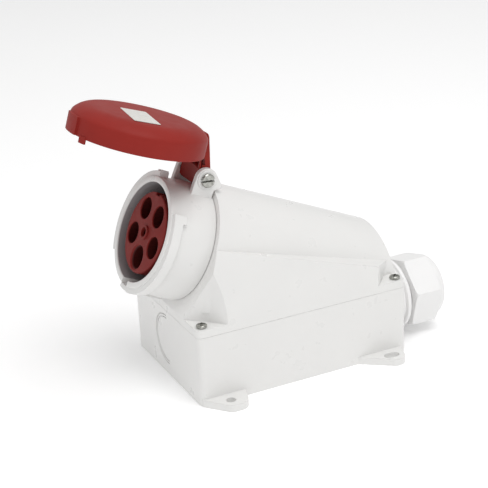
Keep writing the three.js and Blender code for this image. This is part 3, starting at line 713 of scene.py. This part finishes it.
def base_box():
    """The open tray with its posts, feet, knock-outs and cable entry."""
    top = SEAM_HEIGHT - SEAM_GAP
    width, length = BOX_WIDTH - 2 * BASE_WALL, BOX_LENGTH - 2 * BASE_WALL
    body = prism(rounded_rectangle(BOX_WIDTH, BOX_LENGTH, CORNER_RADIUS), 0, top)
    body = cut(body, prism(rounded_rectangle(width, length, 2), BASE_FLOOR, top + 5))
    for x, y in COVER_SCREWS.values():
        body = join(body, shift(rod(POST_RADIUS, 0, top, 32), x, y, 0))
        body = cut(body, shift(rod(PILOT_HOLE, 28, top + 5, 24), x, y, 0))
    for side in (1, -1):
        mirror = Matrix.Scale(side, 4, (1, 0, 0))
        body = join(body, place(foot(-67.4, -85, -71, -53, 0.01), mirror))
        body = join(body, place(foot(67.3, 43.5, 65, 79, 2.6), mirror))
    body = cut(body, seal_groove(top))
    front = common(knockout(), block((-30, -30, -5), (2, 30, 5)))
    body = cut(body, shift(spin(front, 90, "X"), 0, -BOX_LENGTH / 2, KNOCKOUT_Z))
    body = cut(body, shift(spin(knockout(), -90, "X"), -GLAND_X, BOX_LENGTH / 2, KNOCKOUT_Z))
    entry = spin(rod(GLAND_THREAD + 0.4, -10, 10), 90, "X")
    return cut(body, shift(entry, GLAND_X, BOX_LENGTH / 2 - 2, GLAND_Z))


def hood_vault(inset, low):
    """The round vault about the mouth's axis, which widens slightly towards the back."""
    near = HOOD_FACE + inset
    far = near + VAULT_LENGTH
    radius = VAULT_RADIUS - inset
    cone = revolve([(0, -near), (radius, -near), (radius + VAULT_DRAFT * VAULT_LENGTH, -far), (0, -far)], 192)
    rear = BOX_LENGTH / 2 - inset
    return common(place(cone, MOUTH), block((-BIG, -BIG, low), (BIG, rear, BIG)))


def hood_form(inset):
    """Cut corners, inward-curving sides and a sloping shoulder, with the vault on top."""
    x = BOX_WIDTH / 2 - inset
    y = BOX_LENGTH / 2 - inset
    low = SEAM_HEIGHT - inset
    lean = math.tan(math.radians(AXIS_LEAN))
    cosine = math.cos(math.radians(AXIS_LEAN))
    leg = x + y - (BOX_WIDTH / 2 + BOX_LENGTH / 2 - CORNER_CUT - inset * math.sqrt(2))
    plan = [(x, y - leg), (x - leg, y), (leg - x, y), (-x, y - leg),
            (-x, leg - y), (leg - x, -y), (x - leg, -y), (x, leg - y)]
    side = []
    for height in range(0, 57, 2):
        side.append((x - (SIDE_CURVE - math.sqrt(SIDE_CURVE ** 2 - height ** 2)), LEDGE_HEIGHT + height))
    section = [(x, low - 5)] + side + [(-across, up) for across, up in side[::-1]] + [(-x, low - 5)]
    face = BOX_LENGTH / 2 - inset / cosine
    shoulder = SHOULDER_HEIGHT - inset
    top_y = (LEDGE_HEIGHT + face / lean - shoulder) / (SHOULDER_SLOPE - 1 / lean)
    profile = [(-face, low - 5), (-face, LEDGE_HEIGHT), (top_y, shoulder + SHOULDER_SLOPE * top_y),
               (y, shoulder + SHOULDER_SLOPE * y), (y, low - 5)]
    body = common(prism(plan, low, BIG / 2), prism(section, -BIG / 2, BIG / 2, ALONG_Y),
                  prism(profile, -BIG / 2, BIG / 2, SIDEWAYS))
    return join(body, hood_vault(inset, low))


def hood():
    """The thin upper shell, open below and round the collar's neck."""
    ledge = prism(rounded_rectangle(BOX_WIDTH, BOX_LENGTH, CORNER_RADIUS), SEAM_HEIGHT, LEDGE_HEIGHT)
    body = join(hood_form(0), ledge)
    body = cut(body, hood_form(millimetres(settings().housing.hood_wall)))
    body = cut(body, place(rod(NECK_RADIUS + 0.4, -COLLAR_DEPTH, -20, 128), MOUTH))
    for x, y in COVER_SCREWS.values():
        body = cut(body, shift(rod(PILOT_HOLE, 40, 80, 24), x, y, 0))
        body = cut(body, shift(rod(9.2, LEDGE_HEIGHT, LEDGE_HEIGHT + 7, 48), x, y, 0))
    return body


# ---------------------------------------------------------------- socket


def ring_sector(inner, outer, start, end, low, high):
    """Part of a ring, between two angles clockwise from the top."""
    steps = max(4, int((end - start) / 2))
    first, last = 90 - end, 90 - start
    return prism(arc(0, 0, outer, first, last, steps) + arc(0, 0, inner, last, first, steps), low, high)


def hinge_lug():
    """The lug that rises from the collar to the pin, with a round boss on its outer face."""
    side = [(-17.7, 38), (-34.4, 38), (-34.4, 45.4), (-39.5, 48.8), (-39.5, 50)]
    side += [(-depth, up) for depth, up in arc(HINGE_DEPTH, HINGE_UP, 8.3, 52, 180, 28)]
    turn = Matrix(((0, 0, 1, 0), (0, 1, 0, 0), (1, 0, 0, 0), (0, 0, 0, 1)))
    return join(prism(side, 14.6, 18.6, turn), at_hinge(rod(7.2, 17.6, 19.4, 64, 0.3)))


def collar_tube():
    """The tapering tube, with its lip, its neck and the stop that the carrier sits on."""
    wide, neck, mouth = COLLAR_RADIUS, NECK_RADIUS, MOUTH_RADIUS
    lip = [(mouth + 0.8, 0), (wide - 2.8, 0), (wide - 2.2, -0.25), (wide - 2, -0.8)]
    outside = [(wide, -24), (wide, -35.3), (wide - 0.2, -35.8), (wide - 0.6, -36), (wide - 0.7, -36)]
    back = [(wide - 0.7, -34.4), (neck, -34.4), (neck, -COLLAR_DEPTH), (mouth, -COLLAR_DEPTH)]
    stop = [(mouth, -52), (31, -52), (31, -48), (mouth - 0.4, -48), (mouth, -47.6)]
    return revolve(lip + outside + back + stop + [(mouth, -0.8), (mouth + 0.2, -0.25)], 192)


def socket_collar():
    """The white tube round the mouth, with its locking segments, key slot and hinge lugs."""
    lip = millimetres(settings().socket.lip)
    body = collar_tube()
    for start, end in ((-125, -6), (55, 174)):
        body = join(body, ring_sector(40, FLANGE_RADIUS, start, end, -8, -lip))
        body = join(body, ring_sector(40, FLANGE_RADIUS, start, start + 8, -11, -lip - 0.5))
    body = join(body, ring_sector(40, FLANGE_RADIUS + 1.2, -14, -6, -7.4, -lip - 0.9))
    body = join(body, ring_sector(40, FLANGE_RADIUS - 0.6, 171, 189, -30, -lip))
    body = cut(body, block((-4.5, -41.2, -33), (4.5, -30, 5)))
    lug = hinge_lug()
    twin = place(copy(lug), MIRROR_X)
    body = join(body, lug, twin)
    return place(cut(body, at_hinge(rod(PIN_RADIUS + 0.25, -30, 30, 48))), MOUTH)


def contact_recess(chamfer):
    """What a contact hole takes out of the face, with its chamfer."""
    hole = millimetres(settings().socket.hole_radius)
    mouth = hole + chamfer
    return revolve([(0, -20), (hole, -20), (hole, CARRIER_FACE - chamfer), (mouth, CARRIER_FACE + 0.1),
                    (mouth, 5), (0, 5)], 64)


def contact_carrier():
    """The red face with its five contact holes, on a skirt that ends in a flange."""
    skirt, inside, flange = 30.2, 27.9, 36.6
    back = CARRIER_FACE - 12
    body = revolve([
        (0, CARRIER_FACE), (skirt - 1, CARRIER_FACE), (skirt - 0.4, CARRIER_FACE - 0.2),
        (skirt, CARRIER_FACE - 0.8), (skirt, -52.3), (flange, -52.3), (flange, -COLLAR_DEPTH),
        (inside, -COLLAR_DEPTH), (inside, back), (0, back)], 144)
    for name, angle in CONTACT_ANGLES.items():
        recess = contact_recess(1.7 if name == "earth" else 0.4)
        body = cut(body, shift(recess, *polar(CONTACT_CIRCLE, angle), 0))
    body = join(body, pipe(3.2, 5.2, -3.2, -1.3, 64, 0.4))
    body = cut(body, rod(3.6, -20, 5, 48))
    body = cut(body, block((-3, 28.2, -12), (3, 40, 5)))
    return place(body, MOUTH)


def carrier_core():
    """The block inside the carrier that holds the contact sleeves."""
    body = rod(27.6, -COLLAR_DEPTH, -15, 96)
    for angle in CONTACT_ANGLES.values():
        body = cut(body, shift(rod(SLEEVE_RADIUS + 0.3, -60, -10, 64), *polar(CONTACT_CIRCLE, angle), 0))
    return place(cut(body, rod(3, -60, -10, 48)), MOUTH)


def contact(sleeve, bore, tip, terminal):
    """A split sleeve on a stem, with a square terminal for a wire and its screw."""
    shoulder = -55.7
    stem = terminal * 0.62
    body = revolve([
        (bore + 0.5, tip), (sleeve - 0.9, tip), (sleeve - 0.2, tip - 0.3), (sleeve, tip - 1),
        (sleeve, shoulder), (stem, shoulder), (stem, -64), (0, -64), (0, -46), (bore, -45),
        (bore, tip - 0.6)], 48)
    low, high = tip - 16, tip + 1
    body = cut(body, block((-10, -0.5, low), (10, 0.5, high)), block((-0.5, -10, low), (0.5, 10, high)))
    body = join(body, block((-terminal, -terminal, -82), (terminal, terminal, -62)))
    body = cut(body, rod(terminal * 0.6, -90, -68, 32))
    return cut(body, shift(spin(rod(terminal * 0.42, 0, 20, 24), -90, "X"), 0, 0, -74))


# ---------------------------------------------------------------- screws and pin

THREAD_PITCH = 0.9


def screw_shank(radius, length):
    """A shank with rings for its thread, ending in a blunt point."""
    outline = [(0, 0.2), (radius, 0.2)]
    turn = 0.0
    while turn > -length + 1:
        outline += [(radius, turn), (radius * 0.82, turn - THREAD_PITCH / 2)]
        turn -= THREAD_PITCH
    outline += [(radius * 0.6, -length), (0, -length)]
    return revolve(outline[::-1], 24)


def pan_screw(head, height, shank, length):
    """A domed head with a cross recess, standing on its threaded shank."""
    profile = [(0, 0), (head - 0.3, 0), (head, 0.25), (head, height * 0.5)]
    for step in range(1, 7):
        angle = math.radians(15 * step)
        profile.append((head * math.cos(angle) if step < 6 else 0, height * (0.5 + 0.5 * math.sin(angle))))
    body = join(revolve(profile, 40), screw_shank(shank, length))
    arm, width = head * 0.68, head * 0.16
    low, high = height * 0.25, height + 1
    return cut(body, join(block((-arm, -width, low), (arm, width, high)),
                          block((-width, -arm, low), (width, arm, high))))


def hinge_pin():
    """The pin with a slotted head at one end and a groove for its clip at the other."""
    fasteners = settings().fasteners
    half_slot = millimetres(fasteners.slot_width) / 2
    end = PIN_END
    head = revolve([(0, end), (4.9, end), (5.1, end + 0.3), (5.1, end + 1.5), (4.5, end + 2.1),
                    (0, end + 2.2)], 64)
    body = join(rod(PIN_RADIUS, -end - 2.4, end + 0.2, 64, 0.3), head)
    slot = block((-6, -half_slot, end - 1), (6, half_slot, end + 4))
    body = cut(body, spin(slot, round(math.degrees(fasteners.slot_angle), 3)))
    body = cut(body, pipe(2.3, 5, -end - 1.6, -end - 0.8, 48))
    return place(place(body, ALONG_X), HINGE)


# ---------------------------------------------------------------- lid


def lid_dome(wall):
    """The domed cap with its skirt, about its own middle."""
    rim = SKIRT_EDGE
    outer, inner = LID_RADIUS, LID_RADIUS - wall
    profile = [(inner + 0.2, rim), (outer - 0.5, rim), (outer - 0.1, rim + 0.3), (outer, rim + 0.8),
               (outer, 28.7)]
    for step in range(11):
        angle = math.radians(38 + step * 4.9)
        profile.append((outer - 14.4 + 17.6 * math.cos(angle), 19.2 + 17.6 * math.sin(angle)))
    profile += [(33, 36.86), (30, LID_CROWN), (0, LID_CROWN)]
    profile += [(0, 34.4), (34, 34.2), (inner - 5.5, 32), (inner - 2.2, 29.6), (inner, 27),
                (inner, rim + 0.2)]
    return join(revolve(profile, 192), pipe(35.4, 36.6, 28, 35), pipe(41.9, 43.1, 28, 32))


def lid_arm():
    """The hinge arm: a barrel round the pin between two cheeks, with a front and a rear web."""
    rim = SKIRT_EDGE
    inner = ARM_HALF - 3.2
    web = ARM_HALF - 1
    barrel = 7.5
    rear = [(-3.4, 29.9), (-4.2, 31.4), (-5.4, 32.5), (-7, 33.1), (-9.1, 33.4)]
    outline = [(-12, 33.2), (-12, rim + 3), (-barrel, rim + 1)] + arc(0, 0, barrel, 180, 423.4, 40) + rear
    cheeks = join(prism(outline, inner, ARM_HALF, SIDEWAYS), prism(outline, -ARM_HALF, -inner, SIDEWAYS))
    window = prism([(-5, 17), (-2.6, 13), (-1.6, 9.4), (-4.4, 8.8)], -20, 20, SIDEWAYS)
    rear_web = [(3.3, 6.6)] + rear + [(-12, 33.2), (-12, 31), (-7, 30.4), (-6, 29.4), (0.6, 6.4)]
    return join(cut(cheeks, window), prism(rear_web, -web, web, SIDEWAYS),
                block((-web, -barrel, 0), (web, -5.1, rim + 1.5)), place(rod(barrel, -web, web), ALONG_X))


def lid_shell():
    """The lid with its arm, finger pad and catch tooth, opened out round the pin and the gasket."""
    middle = -HINGE_UP
    wall = millimetres(settings().lid.wall)
    body = join(shift(lid_dome(wall), 0, middle, 0), lid_arm())
    body = cut(body, shift(rod(LID_RADIUS - wall, -60, 27.9, 192), 0, middle, 0))
    body = cut(body, shift(pipe(36.6, 41.9, 20, 31.5), 0, middle, 0),
               place(rod(PIN_RADIUS + 0.06, -40, 40, 64), ALONG_X))
    pad = ring_sector(LID_RADIUS - 1.4, LID_RADIUS + 1.5, 171, 195, SKIRT_EDGE + 0.3, 29.4)
    tooth = ring_sector(LID_RADIUS - 0.9, LID_RADIUS + 0.7, 158, 165, SKIRT_EDGE - 3.2, SKIRT_EDGE + 1.5)
    return place(join(body, shift(pad, 0, middle, 0), shift(tooth, 0, middle, 0)), LID)


def lid_label():
    """The blank plate on the lid's flat top."""
    lid = settings().lid
    outline = rounded_rectangle(millimetres(lid.label_width), millimetres(lid.label_length), 1.0)
    plate = prism(outline, LID_CROWN + 0.05, LID_CROWN + 0.3)
    plate = spin(plate, round(math.degrees(lid.label_turn), 3))
    return place(shift(plate, 12.3, -HINGE_UP - 6.9, 0), LID)


def lid_gasket():
    """The rubber ring that stands in the lid's groove and meets the mouth."""
    ring = revolve([(37.2, 31.2), (36.9, 30.9), (36.9, 27.6), (37.8, 26.7), (39.2, 26.6), (40.7, 26.7),
                    (41.6, 27.6), (41.6, 30.9), (41.3, 31.2)], 144)
    return place(shift(ring, 0, -HINGE_UP, 0), LID)


# ---------------------------------------------------------------- cable gland


def gland_body():
    """The threaded body with its shoulder against the wall, its rounded flange and its neck."""
    bore, neck = 14.5, 20.4
    thread = [(bore, -13), (GLAND_THREAD - 0.3, -13), (GLAND_THREAD, -12.7), (GLAND_THREAD, 3.5)]
    shoulder = [(25.6, 3.5), (26, 3.9), (26, 7.2), (25.6, 7.8), (25.2, 8.1)]
    flange = [(26.6, 8.5), (27.3, 9), (27.5, 9.6), (27.5, 11), (27.2, 11.7), (26.4, 12.2), (21.6, 12.6)]
    end = [(20.7, 13.1), (neck, 14), (neck, 27.5), (19.9, 28), (17.1, 28), (17.1, 21), (bore, 19)]
    return place(revolve(thread + shoulder + flange + end, 128), GLAND)


def gland_nut():
    """The cap nut: a hexagon with rounded ends, a dome on it, and a stepped cavity for the seal."""
    gland = settings().gland
    low, high = NUT_LOW, NUT_HIGH
    foot_edge = low - 3.4
    turn = round(math.degrees(gland.nut_turn), 3)
    hexagon = prism(arc(0, 0, millimetres(gland.nut_corner), turn, turn + 300, 5), foot_edge, high)
    form = revolve([(0, foot_edge), (27.2, foot_edge), (28.6, foot_edge + 0.6), (29.5, foot_edge + 1.8),
                    (29.5, low + 17.2), (28.6, low + 18.3), (27.2, low + 19), (0, low + 19.4)], 128)
    dome = [(0, low + 17), (25.4, low + 17), (25.4, low + 18.8)]
    for step in range(1, 10):
        angle = math.radians(10 * step)
        dome.append((17 + 8.4 * math.cos(angle), low + 18.8 + 8.6 * math.sin(angle)))
    dome += [(0, high)]
    cavity = revolve([(0, foot_edge - 1), (20.8, foot_edge - 1), (20.8, 29), (17.6, 33.9), (12.6, 35.9),
                      (12.2, 36.3), (12.2, high - 0.8), (12.9, high + 1), (0, high + 1)], 96)
    return place(cut(join(common(hexagon, form), revolve(dome, 128)), cavity), GLAND)


# ---------------------------------------------------------------- stage

FLOOR_HALF = 6.0
AIM = Vector((0, 0, 0.08))
CAMERA_LENS = 99.07
CAMERA_PLACE = Vector((0.8446, -0.4126, 0.4710))
CAMERA_ANGLES = (64.98, 22.17, -2.97)      # azimuth, elevation and roll, in degrees


def make_floor():
    """A large pale floor that adds a little light of its own."""
    half = FLOOR_HALF
    floor = make_object(
        "floor", [(-half, -half, 0), (half, -half, 0), (half, half, 0), (-half, half, 0)], [(0, 1, 2, 3)])
    shader = Shader("floor")
    color = shader.mix(shader.noise(2), (0.96, 0.96, 0.96), (0.98, 0.98, 0.98))
    shader.link(color, shader.surface.inputs["Base Color"])
    shader.set(Roughness=0.75, Emission_Color=(1, 1, 1, 1), Emission_Strength=settings().stage.floor_glow)
    floor.data.materials.append(shader.material)


def make_sky():
    scene = bpy.context.scene
    scene.world = scene.world or bpy.data.worlds.new("World")
    scene.world.use_nodes = True
    background = scene.world.node_tree.nodes["Background"]
    background.inputs[0].default_value = (1, 1, 1, 1)
    background.inputs[1].default_value = settings().stage.sky


def make_lights():
    """Three square lights, turned towards the object."""
    stage = settings().stage
    lights = (
        ("key", (0.75, 0.1, 1.85), 1.1, stage.key_power),
        ("fill", (0.5, -1.6, 0.7), 1.2, stage.fill_power),
        ("top", (-0.2, 0.3, 1.8), 1.4, stage.top_power),
    )
    for name, location, size, power in lights:
        light = bpy.data.lights.new(name, "AREA")
        light.size = size
        light.energy = power
        obj = bpy.data.objects.new(name, light)
        obj.location = location
        obj.rotation_mode = "QUATERNION"
        obj.rotation_quaternion = (AIM - obj.location).to_track_quat("-Z", "Y")
        bpy.context.scene.collection.objects.link(obj)


def make_camera():
    """A long lens, turned by its azimuth, elevation and roll."""
    camera = bpy.data.cameras.new("camera")
    camera.lens = CAMERA_LENS
    camera.sensor_width = 36
    camera.clip_start = 0.05
    camera.clip_end = 30
    obj = bpy.data.objects.new("camera", camera)
    bpy.context.scene.collection.objects.link(obj)
    azimuth, elevation, roll = (math.radians(angle) for angle in CAMERA_ANGLES)
    back = Vector((math.sin(azimuth) * math.cos(elevation), -math.cos(azimuth) * math.cos(elevation),
                   math.sin(elevation)))
    right = (-back).cross(Vector((0, 0, 1))).normalized()
    up = right.cross(-back)
    across = right * math.cos(roll) + up * math.sin(roll)
    upward = up * math.cos(roll) - right * math.sin(roll)
    turn = Matrix((across, upward, back)).transposed().to_4x4()
    turn.translation = CAMERA_PLACE
    obj.matrix_world = turn
    bpy.context.scene.camera = obj


# ---------------------------------------------------------------- operators


class SOCKETBOX_OT_finishes(bpy.types.Operator):
    """Makes the materials and gives them to the pieces of the frame"""

    bl_idname = "socketbox.finishes"
    bl_label = "Finishes"

    def execute(self, context):
        make_materials()
        slots = {entry["node"]: entry["material_slot"] for entry in frame["record"]["subparts"]}
        for name, obj in frame["nodes"].items():
            for slot in obj.material_slots:
                slot.link = "OBJECT"
                slot.material = bpy.data.materials[slots[name]]
        return {"FINISHED"}


class SOCKETBOX_OT_base(bpy.types.Operator):
    """Builds the base box with its feet and knock-outs"""

    bl_idname = "socketbox.base"
    bl_label = "Base Box"

    def execute(self, context):
        finish_piece(base_box(), "base_moulding", "base_box", "housing", "white")
        return {"FINISHED"}


class SOCKETBOX_OT_hood(bpy.types.Operator):
    """Builds the sloping hood with its vault"""

    bl_idname = "socketbox.hood"
    bl_label = "Hood"

    def execute(self, context):
        finish_piece(hood(), "hood_moulding", "hood", "housing", "white")
        return {"FINISHED"}


class SOCKETBOX_OT_collar(bpy.types.Operator):
    """Builds the collar with its locking segments and hinge lugs"""

    bl_idname = "socketbox.collar"
    bl_label = "Collar"

    def execute(self, context):
        finish_piece(socket_collar(), "collar_moulding", "socket_collar", "housing", "white", "collar_white")
        return {"FINISHED"}


class SOCKETBOX_OT_carrier(bpy.types.Operator):
    """Builds the contact carrier and the core inside it"""

    bl_idname = "socketbox.carrier"
    bl_label = "Contact Carrier"

    def execute(self, context):
        finish_piece(contact_carrier(), "carrier_moulding", "contact_carrier", "housing", "insert_red")
        finish_piece(carrier_core(), "core_moulding", "carrier_core", "housing", "insert_red")
        return {"FINISHED"}


class SOCKETBOX_OT_contacts(bpy.types.Operator):
    """Builds the five contact sleeves and the pilot contact"""

    bl_idname = "socketbox.contacts"
    bl_label = "Contacts"

    def execute(self, context):
        socket = context.scene.socket_box.socket
        line_bore, earth_bore = millimetres(socket.bore_radius), millimetres(socket.earth_bore_radius)
        for name, angle in CONTACT_ANGLES.items():
            bore, tip = (earth_bore, -11) if name == "earth" else (line_bore, -17)
            sleeve = spin(contact(SLEEVE_RADIUS, bore, tip, 7), -angle)
            sleeve = shift(sleeve, *polar(CONTACT_CIRCLE, angle), 0)
            finish_piece(place(sleeve, MOUTH), f"sleeve_{name}", f"contact_{name}", "housing", "brass")
        pilot = place(contact(2.7, 1.6, -12, 3), MOUTH)
        finish_piece(pilot, "sleeve_pilot", "contact_pilot", "housing", "brass")
        return {"FINISHED"}


class SOCKETBOX_OT_cover_screws(bpy.types.Operator):
    """Builds the four cover screws"""

    bl_idname = "socketbox.cover_screws"
    bl_label = "Cover Screws"

    def execute(self, context):
        fasteners = context.scene.socket_box.fasteners
        head, height = millimetres(fasteners.head_radius), millimetres(fasteners.head_height)
        for corner, (x, y) in COVER_SCREWS.items():
            screw = shift(spin(pan_screw(head, height, 2, 28), x + y), x, y, LEDGE_HEIGHT + GAP)
            finish_piece(screw, f"screw_{corner}", f"cover_screw_{corner}", "housing", "steel")
        return {"FINISHED"}


class SOCKETBOX_OT_carrier_screws(bpy.types.Operator):
    """Builds the screws that hold the contact carrier"""

    bl_idname = "socketbox.carrier_screws"
    bl_label = "Carrier Screws"

    def execute(self, context):
        count = context.scene.socket_box.fasteners.carrier_screws
        screw = spin(pan_screw(3, 2, 1.3, 6), 180, "X")
        ring = repeat_round(screw, count, 34, 30, bpy.data.materials["steel"])
        ring = place(shift(ring, 0, 0, -COLLAR_DEPTH - GAP), MOUTH)
        nodes = [f"carrier_screw_{index + 1}" for index in range(count)]
        finish_piece(ring, "carrier_screws", nodes, "housing", "steel")
        return {"FINISHED"}


class SOCKETBOX_OT_hinge_pin(bpy.types.Operator):
    """Builds the hinge pin"""

    bl_idname = "socketbox.hinge_pin"
    bl_label = "Hinge Pin"

    def execute(self, context):
        finish_piece(hinge_pin(), "pin", "hinge_pin", "housing", "steel")
        return {"FINISHED"}


class SOCKETBOX_OT_lid(bpy.types.Operator):
    """Builds the lid with its arm, gasket and label"""

    bl_idname = "socketbox.lid"
    bl_label = "Lid"

    def execute(self, context):
        finish_piece(lid_shell(), "lid_moulding", "lid_shell", "lid", "lid_red")
        finish_piece(lid_gasket(), "lid_seal", "lid_gasket", "lid", "rubber")
        if context.scene.socket_box.lid.show_label:
            finish_piece(lid_label(), "label_plate", "lid_label", "lid", "label")
        return {"FINISHED"}


class SOCKETBOX_OT_gland(bpy.types.Operator):
    """Builds the cable gland's body and nut"""

    bl_idname = "socketbox.gland"
    bl_label = "Cable Gland"

    def execute(self, context):
        finish_piece(gland_body(), "gland_moulding", "gland_body", "housing", "gland_white")
        finish_piece(gland_nut(), "gland_cap_nut", "gland_nut", "gland_cap", "gland_white")
        return {"FINISHED"}


class SOCKETBOX_OT_stage(bpy.types.Operator):
    """Sets the floor, the lights and the camera"""

    bl_idname = "socketbox.stage"
    bl_label = "Stage"

    def execute(self, context):
        make_floor()
        make_sky()
        make_lights()
        make_camera()
        context.scene.view_settings.view_transform = "Standard"
        return {"FINISHED"}


OPERATORS = (
    SOCKETBOX_OT_finishes,
    SOCKETBOX_OT_base,
    SOCKETBOX_OT_hood,
    SOCKETBOX_OT_collar,
    SOCKETBOX_OT_carrier,
    SOCKETBOX_OT_contacts,
    SOCKETBOX_OT_cover_screws,
    SOCKETBOX_OT_carrier_screws,
    SOCKETBOX_OT_hinge_pin,
    SOCKETBOX_OT_lid,
    SOCKETBOX_OT_gland,
    SOCKETBOX_OT_stage,
)


class SOCKETBOX_PT_panel(bpy.types.Panel):
    """Lists the steps that build the socket box"""

    bl_idname = "SOCKETBOX_PT_panel"
    bl_label = "Socket Box"
    bl_space_type = "VIEW_3D"
    bl_region_type = "UI"
    bl_category = "Socket Box"

    def draw(self, context):
        for operator in OPERATORS:
            self.layout.operator(operator.bl_idname)


CLASSES = (
    SocketBoxHousing,
    SocketBoxSocket,
    SocketBoxFasteners,
    SocketBoxLid,
    SocketBoxGland,
    SocketBoxFinishes,
    SocketBoxStage,
    SocketBoxSettings,
    *OPERATORS,
    SOCKETBOX_PT_panel,
)


def register():
    for listed in CLASSES:
        bpy.utils.register_class(listed)
    bpy.types.Scene.socket_box = PointerProperty(type=SocketBoxSettings)


def unregister():
    del bpy.types.Scene.socket_box
    for listed in reversed(CLASSES):
        bpy.utils.unregister_class(listed)


def main():
    register()
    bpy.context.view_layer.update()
    for operator in OPERATORS:
        group, name = operator.bl_idname.split(".")
        getattr(getattr(bpy.ops, group), name)()


if __name__ == "__main__":
    main()
